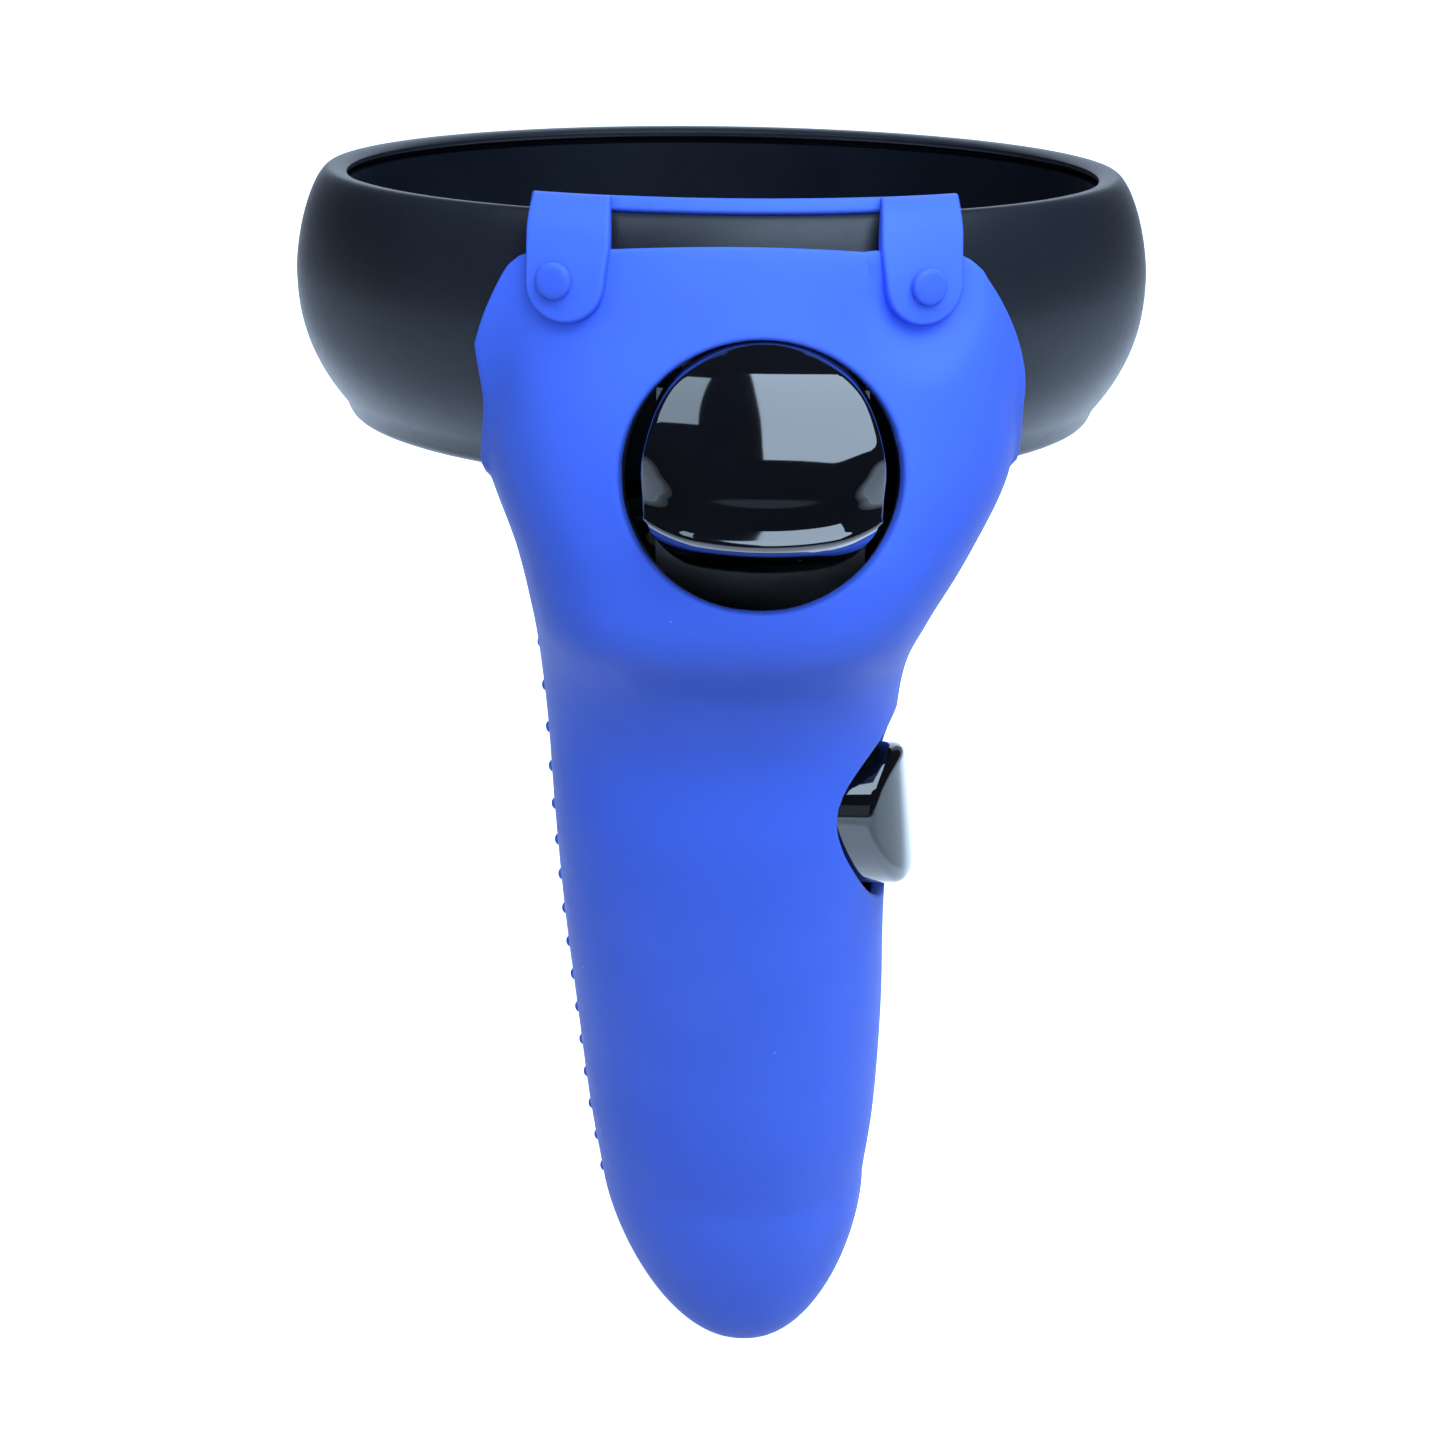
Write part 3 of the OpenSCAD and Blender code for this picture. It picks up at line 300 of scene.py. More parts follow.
def rounded_step(near: float, far: float, value: float) -> float:
    """Goes smoothly from 0 at near to 1 at far."""
    t = max(0.0, min(1.0, (value - near) / (far - near)))
    return t * t * (3 - 2 * t)


def grid(columns: int, rows: int, place: Callable[[float, float], Vector], weld: float = 0.0) -> bmesh.types.BMesh:
    """A sheet of quads laid over a surface.

    Args:
        columns: Faces across.
        rows: Faces along.
        place: The surface's point for two shares from 0 to 1.
        weld: Points closer than this are joined, which closes a seam or a pole.

    Returns:
        The sheet.
    """
    mesh = bmesh.new()
    bmesh.ops.create_grid(mesh, x_segments=columns, y_segments=rows, size=0.5)
    for vert in mesh.verts:
        vert.co = place(vert.co.x + 0.5, vert.co.y + 0.5)
    if weld > 0:
        bmesh.ops.remove_doubles(mesh, verts=mesh.verts, dist=weld)
    return mesh


def trim(mesh: bmesh.types.BMesh, keep: Skin) -> None:
    """Cuts a mesh along the surface where a measure is zero, and drops what lies below zero.

    Args:
        mesh: The mesh to cut.
        keep: The measure of a point, positive on the side that stays.
    """
    value = {vert: keep(vert.co) for vert in mesh.verts}
    if min(value.values()) >= 0:
        return
    edges = [e for e in mesh.edges if value[e.verts[0]] * value[e.verts[1]] < 0]
    cuts: list[tuple[bmesh.types.BMEdge, float]] = []
    for edge in edges:
        a, b = (vert.co.copy() for vert in edge.verts)
        low, high, sign = 0.0, 1.0, value[edge.verts[0]] > 0
        for _ in range(12):
            middle = (low + high) / 2
            if (keep(a.lerp(b, middle)) > 0) == sign:
                low = middle
            else:
                high = middle
        cuts.append((edge, (low + high) / 2))
    on_line: set[bmesh.types.BMVert] = set()
    for edge, t in cuts:                                   # corners close to the line move onto it
        near = edge.verts[0] if t < 0.2 else edge.verts[1] if t > 0.8 else None
        if near is not None and near not in on_line:
            near.co = edge.verts[0].co.lerp(edge.verts[1].co, t)
            value[near] = 0.0
            on_line.add(near)
    for edge, t in cuts:
        a, b = edge.verts
        if a in on_line or b in on_line:
            continue
        _, vert = bmesh.utils.edge_split(edge, a, t)
        value[vert] = 0.0
        on_line.add(vert)
    bmesh.ops.connect_verts(mesh, verts=list(on_line))
    dropped = [f for f in mesh.faces if sum(value[v] for v in f.verts) < 0]
    bmesh.ops.delete(mesh, geom=dropped, context="FACES")
    loose = [e for e in mesh.edges if not e.link_faces]
    bmesh.ops.delete(mesh, geom=loose, context="EDGES")
    bmesh.ops.delete(mesh, geom=[v for v in mesh.verts if not v.link_faces], context="VERTS")


def close_shell(mesh: bmesh.types.BMesh, inner: Ease, rim: Rim) -> None:
    """Gives an open skin an inner wall, and joins the two round every open edge.

    Args:
        mesh: The outer skin, its faces pointing out.
        inner: The inner wall's point below a point, from that point and its normal.
        rim: The points between an open edge and the inner wall, from the point, its normal and the way out.
    """
    mesh.normal_update()
    outer_edges = [e for e in mesh.edges if e.is_boundary]
    out_way: dict[bmesh.types.BMVert, Vector] = {}
    for edge in outer_edges:
        loop = edge.link_loops[0]
        step = (loop.link_loop_next.vert.co - loop.vert.co).normalized()
        for vert in edge.verts:
            out_way[vert] = out_way.get(vert, Vector()) + step.cross(vert.normal)
    paths = {v: list(rim(v.co.copy(), v.normal.copy(), way.normalized())) for v, way in out_way.items()}
    skin = [*mesh.verts, *mesh.edges, *mesh.faces]
    wall_point = {v: inner(v.co.copy(), v.normal.copy()) for v in mesh.verts}
    copied = bmesh.ops.duplicate(mesh, geom=skin)
    twin = copied["vert_map"]
    for vert, point in wall_point.items():
        twin[vert].co = point
    bmesh.ops.reverse_faces(mesh, faces=[g for g in copied["geom"] if isinstance(g, bmesh.types.BMFace)])

    def grown_from(new: Sequence[object]) -> dict[bmesh.types.BMVert, bmesh.types.BMVert]:
        """Returns, for each new corner of an extruded edge, the skin's corner it comes from."""
        fresh = set(verts_of(new))
        return {vert: source[old] for vert in fresh for old in (e.other_vert(vert) for e in vert.link_edges)
                if old in source and old not in fresh}

    source = {v: v for v in out_way}
    edges = outer_edges
    for k in range(len(next(iter(paths.values()), []))):
        new = bmesh.ops.extrude_edge_only(mesh, edges=edges)["geom"]
        edges = edges_of(new)
        source = grown_from(new)
        for vert, origin in source.items():
            vert.co = paths[origin][k]
    if source:
        new = bmesh.ops.extrude_edge_only(mesh, edges=edges)["geom"]
        bmesh.ops.weld_verts(mesh, targetmap={vert: twin[origin] for vert, origin in grown_from(new).items()})
    bmesh.ops.recalc_face_normals(mesh, faces=mesh.faces)
    if mesh.calc_volume(signed=True) < 0:
        bmesh.ops.reverse_faces(mesh, faces=mesh.faces)


def soft_rim(wall: Callable[[Vector], float], radius: float) -> Rim:
    """A rounded edge for a sheet that is wall thick.

    Args:
        wall: The sheet's thickness at a point.
        radius: The radius of its two rounded corners.

    Returns:
        The rim's path, for close_shell.
    """
    def path(point: Vector, normal: Vector, out: Vector) -> list[Vector]:
        thick = wall(point)
        r = min(radius, thick * 0.45)
        turns = [math.radians(a) for a in (30, 60, 90)]
        upper = [(r * math.sin(a), r * (1 - math.cos(a))) for a in turns]
        lower = [(u, thick - d) for u, d in reversed(upper)]
        return [point + out * u - normal * d for u, d in upper + lower]
    return path


def rolled(point: Vector, out: Vector, last: Vector, radius: float, steps: int) -> list[Vector]:
    """An edge rolled over until it runs a given way.

    Args:
        point: Where the roll starts.
        out: The way it starts.
        last: The way it ends.
        radius: The roll's radius.
        steps: Points along it.

    Returns:
        The points after the first.
    """
    turn = out.angle(last)
    side = (last - out * last.dot(out)).normalized()
    return [point + out * radius * math.sin(turn * k / steps) + side * radius * (1 - math.cos(turn * k / steps))
            for k in range(1, steps + 1)]


def even_wall(thick: float) -> Callable[[Vector], float]:
    """Returns the measure of a wall that is equally thick everywhere."""
    return lambda _point: thick


def spun(profile: Sequence[tuple[float, float]], steps: int) -> bmesh.types.BMesh:
    """A skin swept round Z by a line.

    Args:
        profile: Radius and height of each point of the line; it may end where it starts.
        steps: Faces round the axis.

    Returns:
        The skin.
    """
    mesh = bmesh.new()
    loop = profile[0] == profile[-1]
    verts = [mesh.verts.new((r, 0.0, z)) for r, z in (profile[:-1] if loop else profile)]
    edges = [mesh.edges.new(pair) for pair in zip(verts, [*verts[1:], *verts[:1]] if loop else verts[1:])]
    bmesh.ops.spin(mesh, geom=[*verts, *edges], cent=(0, 0, 0), axis=(0, 0, 1), angle=math.tau, steps=steps,
                   use_merge=True)
    bmesh.ops.remove_doubles(mesh, verts=mesh.verts, dist=ROUND_WELD)
    return mesh


def turned(profile: Sequence[tuple[float, float]], steps: int = 64) -> bmesh.types.BMesh:
    """A solid turned about Z.

    Args:
        profile: Radius and height of each corner, from the axis at the bottom round to the axis at the top, or a
            loop that stays off the axis.
        steps: Faces round the axis.

    Returns:
        The solid.
    """
    mesh = spun([*profile, profile[0]] if min(r for r, _ in profile) > ON_AXIS else profile, steps)
    bmesh.ops.recalc_face_normals(mesh, faces=mesh.faces)
    return mesh


def eased(profile: Sequence[tuple[float, float]], radius: float, steps: int = 3) -> list[tuple[float, float]]:
    """Rounds the corners of a profile.

    Args:
        profile: The corners; the first and last stay sharp.
        radius: How far along each side the rounding starts.
        steps: Points on each rounded corner, less one.

    Returns:
        The rounded profile.
    """
    out = [profile[0]]
    for before, corner, after in zip(profile, profile[1:], profile[2:]):
        p, a, b = Vector(corner), Vector(before), Vector(after)
        reach = min(radius, (a - p).length * 0.45, (b - p).length * 0.45)
        start, end = p + (a - p).normalized() * reach, p + (b - p).normalized() * reach
        for k in range(steps + 1):
            t = k / steps
            q = start * (1 - t) ** 2 + p * 2 * t * (1 - t) + end * t * t
            out.append((q.x, q.y))
    return [*out, profile[-1]]


def verts_of(geom: Sequence[object]) -> list[bmesh.types.BMVert]:
    """Returns the corners among a mesh's elements."""
    return [g for g in geom if isinstance(g, bmesh.types.BMVert)]


def edges_of(geom: Sequence[object]) -> list[bmesh.types.BMEdge]:
    """Returns the edges among a mesh's elements."""
    return [g for g in geom if isinstance(g, bmesh.types.BMEdge)]


def face_out(mesh: bmesh.types.BMesh, way: Vector) -> None:
    """Turns a skin so that the face furthest along a way looks along it.

    Args:
        mesh: The skin, whose faces already agree with each other.
        way: The way.
    """
    mesh.normal_update()
    face = max(mesh.faces, key=lambda f: f.calc_center_median().dot(way))
    if face.normal.dot(way) < 0:
        bmesh.ops.reverse_faces(mesh, faces=mesh.faces)


def absorb(mesh: bmesh.types.BMesh, other: bmesh.types.BMesh, place: Matrix) -> None:
    """Adds one mesh to another.

    Args:
        mesh: The mesh that grows.
        other: The mesh that is added; it is used up.
        place: Where it goes.
    """
    bmesh.ops.transform(other, matrix=place, verts=other.verts)
    data = bpy.data.meshes.new("part")
    other.to_mesh(data)
    other.free()
    mesh.from_mesh(data)
    bpy.data.meshes.remove(data)


def to_object(name: str, mesh: bmesh.types.BMesh) -> bpy.types.Object:
    """Makes a smooth-shaded object of a mesh and adds it to the scene.

    Args:
        name: The object's name.
        mesh: Its shape in metres; it is used up.

    Returns:
        The object.
    """
    data = bpy.data.meshes.new(name)
    mesh.to_mesh(data)
    mesh.free()
    data.polygons.foreach_set("use_smooth", [True] * len(data.polygons))
    made = bpy.data.objects.new(name, data)
    bpy.context.scene.collection.objects.link(made)
    return made


RIGHT, FRONT, UP = Vector((1.0, 0.0, 0.0)), Vector((0.0, -1.0, 0.0)), Vector((0.0, 0.0, 1.0))


# ---- Forms the pieces share -----------------------------------------------------------------

@dataclass
class RingForm:
    """The band's cross-section and the distance of a point from it."""

    crown_h: float = 11.0
    skirt_h: float = 16.0
    crown_run: float = 3.8
    skirt_run: float = 4.9
    lip_h: float = 0.6
    bottom_round: float = 2.0
    wall: float = 1.8
    inner_wall: float = 1.6
    outline: list[Vector] = field(default_factory=list)

    def __post_init__(self) -> None:
        """Works out the band's outline once."""
        self.top_r = RING_R - 5.8
        self.low_r = RING_R - 8.7
        crown = [self.crown(90 * i / 14) for i in range(15)]
        skirt = [self.skirt(i / 12) for i in range(1, 13)]
        self.outline = [Vector(p) for p in (
            (self.top_r, self.crown_h - self.lip_h), *crown, *skirt, (RING_R - 5.6, 0.4 - self.skirt_h),
            (self.low_r + self.inner_wall, -self.skirt_h), (self.low_r, -self.skirt_h))]

    def crown(self, turn: float, grow: float = 0.0) -> tuple[float, float]:
        """Returns a point on the band from its crown (turn 0) to its widest line (turn 90)."""
        s, c = math.sin(math.radians(turn)), max(0.0, math.cos(math.radians(turn)))
        return RING_R - self.crown_run + (self.crown_run + grow) * s ** 1.24, (self.crown_h + grow) * c ** 1.24

    def skirt(self, t: float, grow: float = 0.0) -> tuple[float, float]:
        """Returns a point on the band from its widest line (0) to its bottom corner (1)."""
        return RING_R + grow - self.skirt_run * t ** 2.37, -(self.skirt_h - self.bottom_round) * t

    def inside_r(self, z: float) -> float:
        """Returns the radius of the band's inside face at a height."""
        whole = self.crown_h - self.lip_h + self.skirt_h
        return self.low_r + (self.top_r - self.low_r) * (z + self.skirt_h) / whole

    def nearest(self, point: Vector) -> tuple[float, Vector]:
        """Measures a point of the handle against the band.

        Args:
            point: The point, with y measured back from the ring's foremost point.

        Returns:
            Its distance from the band, negative inside, and the way straight off the band.
        """
        x, y = point.x, point.y - RING_R
        r = math.hypot(x, y)
        q = Vector((r, point.z))
        best, spot, inside = 1e9, q, False
        last = self.outline[-1]
        for corner in self.outline:
            side = corner - last
            t = max(0.0, min(1.0, (q - last).dot(side) / side.length_squared))
            foot = last + side * t
            gap = (q - foot).length
            if gap < best:
                best, spot = gap, foot
            if (corner.y > q.y) != (last.y > q.y) and q.x < last.x + side.x * (q.y - last.y) / side.y:
                inside = not inside
            last = corner
        way = (q - spot) * (-1.0 if inside else 1.0)
        way = way.normalized() if way.length > 1e-6 else Vector((1.0, 0.0))
        return (-best if inside else best), Vector((way.x * x / r, way.x * y / r, way.y))


@dataclass(frozen=True)
class Station:
    """One level of the handle's outline."""

    z: float
    x: float
    half: float
    front: float
    back: float
    square: float


@dataclass
class BodyForm:
    """The handle and head over the sleeve: a smooth loft through its stations, closed by a rounded heel."""

    neck_z: float = -46.0
    handle_len: float = 85.6
    heel_drift: tuple[float, float, float] = (1.65, 5.7, -4.35)
    heel_power: float = 1.6
    stations: tuple[Station, ...] = (
        Station(16, 2.4, 24.5, 3.0, 38.0, 3.0), Station(8, 2.5, 25.8, -0.3, 37.5, 3.0),
        Station(0, 2.7, 27.6, -2.2, 40.0, 2.9), Station(-8, 3.0, 27.6, -4.6, 47.0, 2.8),
        Station(-16, 3.1, 27.2, -6.6, 52.5, 2.6), Station(-24, 2.7, 24.0, -7.5, 55.6, 2.7),
        Station(-31, 1.6, 21.3, -5.8, 56.8, 2.8), Station(-38, 0.8, 19.8, 1.4, 50.5, 2.5),
        Station(-46, 0.7, 18.9, 6.4, 43.0, 2.3), Station(-57.128, 0.9, 18.5, 8.8, 44.2, 2.25),
        Station(-69.968, 1.25, 18.1, 12.6, 48.8, 2.2), Station(-83.664, 2.0, 17.7, 17.2, 53.4, 2.2),
        Station(-97.36, 2.5, 16.9, 21.6, 56.4, 2.2), Station(-107.632, 2.75, 15.75, 25.7, 57.6, 2.2))

    @property
    def last(self) -> int:
        """Index of the station where the heel starts."""
        return len(self.stations) - 1

    def row(self, u: float) -> Station:
        """The outline at one level.

        Args:
            u: 0 at the top, one more at each station, and one more again at the heel's tip.

        Returns:
            The level's outline.
        """
        if u > self.last:
            t = math.sin(math.radians(90 * min(1.0, u - self.last)))
            s = self.stations[-1]
            shrink = math.sqrt(max(0.0, 1 - t ** self.heel_power))
            middle = (s.front + s.back) / 2 + self.heel_drift[1] * t + self.heel_drift[2] * t * t
            half = (s.back - s.front) / 2 * shrink
            return Station(s.z + (self.neck_z - self.handle_len - s.z) * t, s.x + self.heel_drift[0] * t,
                           s.half * shrink, middle - half, middle + half, s.square)
        i = min(int(u), self.last - 1)

        def field_of(name: str) -> float:
            """Returns one size of the outline at u."""
            get = [getattr(self.stations[max(0, min(self.last, i + k))], name) for k in (-1, 0, 1, 2)]
            if i == 0:
                get[0] = 2 * get[1] - get[2]
            if i == self.last - 1:
                get[3] = 2 * get[2] - get[1]
            return smoothly(get, u - i)
        return Station(*(field_of(n) for n in ("z", "x", "half", "front", "back", "square")))

    def point(self, u: float, angle: float) -> Vector:
        """Returns the skin's point at a level and an angle in degrees, 0 to the right and 90 to the back."""
        s = self.row(u)
        c, n = math.cos(math.radians(angle)), math.sin(math.radians(angle))
        reach = (abs(c) ** s.square + abs(n) ** s.square) ** (-1 / s.square)
        return Vector((s.x + s.half * reach * c, (s.front + s.back) / 2 + (s.back - s.front) / 2 * reach * n, s.z))

    def normal(self, u: float, angle: float) -> Vector:
        """Returns the way straight out of the skin."""
        up = self.point(u - 0.03, angle) - self.point(u + 0.03, angle)
        round_ = self.point(u, angle + 1) - self.point(u, angle - 1)
        return round_.cross(up).normalized()

    def level_of(self, z: float) -> float:
        """Returns the u of a height."""
        low, high = 0.0, float(self.last + 1)
        for _ in range(24):
            middle = (low + high) / 2
            if self.row(middle).z > z:
                low = middle
            else:
                high = middle
        return (low + high) / 2

    def inside(self, point: Vector) -> float:
        """Returns about how many millimetres a point lies inside the skin."""
        s = self.row(self.level_of(point.z))
        a = abs(point.x - s.x) / s.half
        b = abs(point.y - (s.front + s.back) / 2) / ((s.back - s.front) / 2)
        return (1 - (a ** s.square + b ** s.square) ** (1 / s.square)) * s.half


@dataclass(frozen=True)
class FacePlane:
    """The tilted thumb face."""

    at: Vector = Vector((3.0, 31.0, -20.0))
    tilt: float = 24.0

    @property
    def matrix(self) -> Matrix:
        """From the face's own coordinates to the handle's."""
        return Matrix.Translation(self.at) @ Matrix.Rotation(math.radians(-self.tilt), 4, "X")

    def height(self, point: Vector) -> float:
        """Returns a point's height over the face."""
        return (self.matrix.inverted() @ point).z


RING = RingForm()
BODY = BodyForm()
FACE = FacePlane()


def oval_distance(x: float, y: float, half_w: float, half_h: float, power: float) -> float:
    """Returns about how far a point lies outside a rounded oval, negative inside."""
    return ((abs(x) / half_w) ** power + (abs(y) / half_h) ** power) ** (1 / power) * min(half_w, half_h) \
        - min(half_w, half_h)


# ---- Ring -----------------------------------------------------------------------------------

@dataclass
class HaloRing:
    """The band's outer skin, with the window behind the sleeve, and its lining."""

    steps: int = 176
    trigger_x: float = 4.35
    window_w: float = 30.2
    window_top: float = 3.2
    wall: float = 1.1

    def skin(self) -> bmesh.types.BMesh:
        """Makes the outer skin with its window.

        Returns:
            The skin as a closed shell.
        """
        lip = [(RING.top_r + 0.1, RING.crown_h - RING.lip_h - 0.25), (RING.top_r + 0.12, RING.crown_h - RING.lip_h),
               (RING.top_r + 0.35, RING.crown_h - RING.lip_h + 0.2), (RING_R - 4.8, RING.crown_h - 0.1)]
        crown = [RING.crown(90 * i / 16) for i in range(17)]
        skirt = [RING.skirt(i / 14) for i in range(1, 15)]
        corner = eased([skirt[-1], (RING_R - 5.6, 0.4 - RING.skirt_h), (RING_R - 6.7, -RING.skirt_h)], 1.0)[1:]
        mesh = spun([*lip, *crown, *skirt, *corner], self.steps)
        face_out(mesh, RIGHT)
        trim(mesh, self.outside_window)
        close_shell(mesh, lambda p, n: p - n * self.wall, soft_rim(even_wall(self.wall), 0.3))
        return mesh

    def outside_window(self, point: Vector) -> float:
        """Returns how far a point of the skin lies outside the window behind the sleeve."""
        if point.y > 0:
            return 1.0
        return max(abs(point.x - self.trigger_x) - self.window_w / 2, point.z - self.window_top)

    def lining(self) -> bmesh.types.BMesh:
        """Makes the ring's inside wall, with a soft turn at its bottom edge.

        Returns:
            The wall.
        """
        top = RING.crown_h - RING.wall - 0.1
        low = -RING.skirt_h
        wall = RING.inner_wall
        inside = [(RING.inside_r(top + (low - top) * i / 6), top + (low - top) * i / 6) for i in range(7)]
        foot = inside[-1][0]
        loop = [(RING.inside_r(top) + wall, top), *inside[:-1], (foot, low + 0.4), (foot + 0.12, low + 0.12),
                (foot + 0.4, low), (foot + wall, low)]
        return turned(loop, self.steps)

    def build(self, bench: Bench) -> None:
        """Makes the ring's two pieces."""
        bench.finish("ring_skin", self.skin(), "controller", "ring_plastic", ["ring_outer_shell"], Vector())
        bench.finish("ring_lining", self.lining(), "controller", "ring_inside", ["ring_inner_shell"], Vector())


# ---- Sleeve ---------------------------------------------------------------------------------

@dataclass
class Sleeve:
    """The silicone sleeve: the skin over head and handle, its rim on the face, its strap and its grip bumps."""

    wall: float = 1.6
    columns: int = 132
    rows: int = 150
    trigger_at: Vector = Vector((4.25, -5.5, -12.8))
    trigger_lean: float = 8.9
    trigger_half: tuple[float, float] = (14.3, 13.6)
    grip_at: tuple[float, float] = (22.6, -55.0)
    grip_half: tuple[float, float] = (12.6, 9.4)
    grip_lean: float = 49.0
    arch_r: float = 180.0
    arch_top: float = 8.2
    corner_x: float = 22.55          # half the sleeve's width at its top edge
    spread: float = 5.2              # how much wider it is lower down
    corner_r: float = 1.5
    overlap: float = 1.0             # how deep in the ring the body may be where the sleeve still laps over it
    eye_at: Vector = Vector((3.0, 58.2, -123.2))
    lap: float = 0.9                 # how far the sleeve stands off where it lies on the ring
    tab_xs: tuple[float, float] = (-15.1, 19.9)
    tab_z: float = 4.6
    tab_r: float = 3.8
    tab_bed: float = 1.66            # how far it stands off under the strap's tabs
    lip: float = 1.05
    rim_wall: float = 0.95
    rim_half: tuple[float, float] = (20.9, 21.7)
    rim_square: float = 2.15
    rim_reach: float = 42.0          # where the rim's sheet ends before it is cut to the head
    bump_pitch: float = 4.7
    bump_top: float = -33.0
    bump_end: float = -109.0
    bump_r: float = 0.7

    def skin_point(self, s: float, t: float) -> Vector:
        """Returns the skin's point for two shares, round and down."""
        heel = 0.8
        u = t / heel * BODY.last if t < heel else BODY.last + (t - heel) / (1 - heel)
        return BODY.point(u, 360 * s)

    def clear_of_ring(self, point: Vector) -> float:
        """Returns how far a point of the body lies from where the sleeve stops on the band."""
        return RING.nearest(point)[0] + self.overlap * rounded_step(-10, 0, point.z)

    def below_arch(self, point: Vector) -> float:
        """Returns how far a point lies under the sleeve's arched top edge."""
        if point.z < -8:
            return 1.0
        arch = self.arch_r - math.hypot(point.x - 2.5, point.z - self.arch_top + self.arch_r)
        widen = 1 - ((point.z + 8.0) / 14.4) ** 2
        side = self.corner_x + self.spread * widen - abs(point.x - 2.35 - 0.7 * widen)
        corner = max(0.0, self.corner_r - arch), max(0.0, self.corner_r - side)
        return min(arch, side, self.corner_r - math.hypot(*corner))

    def below_face(self, point: Vector) -> float:
        """Returns how far a point lies under the rim on the face, or outside the ring's inside."""
        r = math.hypot(point.x, point.y - RING_R)
        return max(self.lip - FACE.height(point), r - RING.low_r - 3.2)

    def off_trigger(self, point: Vector) -> float:
        """Returns how far a point lies outside the trigger's hole."""
        if point.y > 3:
            return 1.0
        lean = math.radians(self.trigger_lean)
        axis = Vector((0.0, -math.cos(lean), math.sin(lean)))
        arm = point - self.trigger_at
        arm -= axis * arm.dot(axis)
        return oval_distance(arm.x, math.hypot(arm.y, arm.z), *self.trigger_half, 2.0)

    def off_grip(self, point: Vector) -> float:
        """Returns how far a point lies outside the grip button's hole."""
        if point.x < 6:
            return 1.0
        a, b = turn_back(point.y - self.grip_at[0], point.z - self.grip_at[1], self.grip_lean)
        return oval_distance(a, b, *self.grip_half, 2.3)

    def off_eye(self, point: Vector) -> float:
        """Returns how far a point lies outside the lanyard eye's slot."""
        if point.y < 42:
            return 1.0
        return oval_distance(point.x - self.eye_at.x, point.z - self.eye_at.z, 2.15, 4.0, 4.0)

    def over_ring(self, point: Vector) -> Vector:
        """Returns a point of the skin moved off the band, so that the sleeve laps over the ring."""
        gap, way = RING.nearest(point)
        start = 2 * self.lap
        if gap < start:
            return point + way * (self.lap + max(0.0, gap) ** 2 / (2 * start) - gap)
        if point.z < -6 or point.y > 12:
            return point
        reach = min(math.hypot(point.x - x, min(0.0, point.z - self.tab_z)) for x in self.tab_xs)
        room = self.tab_bed + max(0.0, reach - self.tab_r) * 0.75
        return point - way * max(0.0, gap - room)

    def wall_at(self, point: Vector) -> float:
        """Returns the sleeve's thickness at a point, thinner where it laps over the ring."""
        gap = RING.nearest(point)[0]
        return max(0.35, min(self.wall, gap - 0.08))

    def skin(self) -> bmesh.types.BMesh:
        """Makes the skin with its holes and rounded edges.

        Returns:
            The skin as a closed shell.
        """
        mesh = grid(self.columns, self.rows, self.skin_point, SEAM_WELD)
        bmesh.ops.recalc_face_normals(mesh, faces=mesh.faces)
        face_out(mesh, RIGHT)
        for cut in (self.clear_of_ring, self.below_face, self.off_trigger, self.off_grip, self.off_eye):
            trim(mesh, cut)
        for vert in mesh.verts:
            vert.co = self.over_ring(vert.co)
        trim(mesh, self.below_arch)

        def inner(point: Vector, normal: Vector) -> Vector:
            """Returns the inner wall's point."""
            return point - normal * self.wall_at(point)
        close_shell(mesh, inner, soft_rim(self.wall_at, 0.42))
        return mesh

    def face_rim(self) -> bmesh.types.BMesh:
        """Makes the flat rim that lies on the face round its opening.

        Returns:
            The rim.
        """
        def place(s: float, t: float) -> Vector:
            """Returns a point of the rim's top, from the opening outwards."""
            angle = math.tau * s
            c, n = math.cos(angle), math.sin(angle)
            reach = (abs(c) ** self.rim_square + abs(n) ** self.rim_square) ** (-1 / self.rim_square)
            inner = Vector((self.rim_half[0] * reach * c, self.rim_half[1] * reach * n, 0.0))
            outer = Vector((c, n, 0.0)) * self.rim_reach
            return FACE.matrix @ (inner.lerp(outer, t) + Vector((0, 0, self.lip)))
        mesh = grid(160, 44, place, SEAM_WELD)
        face_out(mesh, UP)
        trim(mesh, lambda p: BODY.inside(p) - 0.45)
        trim(mesh, lambda p: RING.inside_r(p.z) - 0.5 - math.hypot(p.x, p.y - RING_R))
        close_shell(mesh, lambda p, n: p - n * self.rim_wall, soft_rim(even_wall(self.rim_wall), 0.4))
        return mesh

    def bumps(self) -> bmesh.types.BMesh:
        """Makes the low bumps on the palm's side.

        Returns:
            All the bumps in one mesh.
        """
        mesh = bmesh.new()
        count = 1 + int((self.bump_top - self.bump_end) / self.bump_pitch)
        for column, angle in enumerate(range(184, 96, -11)):
            for row in range(count):
                z = self.bump_top - self.bump_pitch * (row + 0.5 * (column % 2))
                if z < self.bump_end:
                    continue
                u = BODY.level_of(z)
                point, normal = BODY.point(u, angle), BODY.normal(u, angle)
                turn = UP.rotation_difference(normal).to_matrix().to_4x4()
                flat = Matrix.Diagonal((self.bump_r, self.bump_r, 0.5, 1.0))
                place = Matrix.Translation(point - normal * 0.12) @ turn @ flat
                bmesh.ops.create_uvsphere(mesh, u_segments=10, v_segments=6, radius=1.0, matrix=place)
        return mesh

    def build(self, bench: Bench) -> None:
        """Makes the sleeve's pieces."""
        bench.finish("sleeve_skin", self.skin(), "controller", "silicone", ["silicone_sleeve"])
        bench.finish("sleeve_face_rim", self.face_rim(), "controller", "silicone")
        bench.finish("sleeve_bumps", self.bumps(), "controller", "silicone")


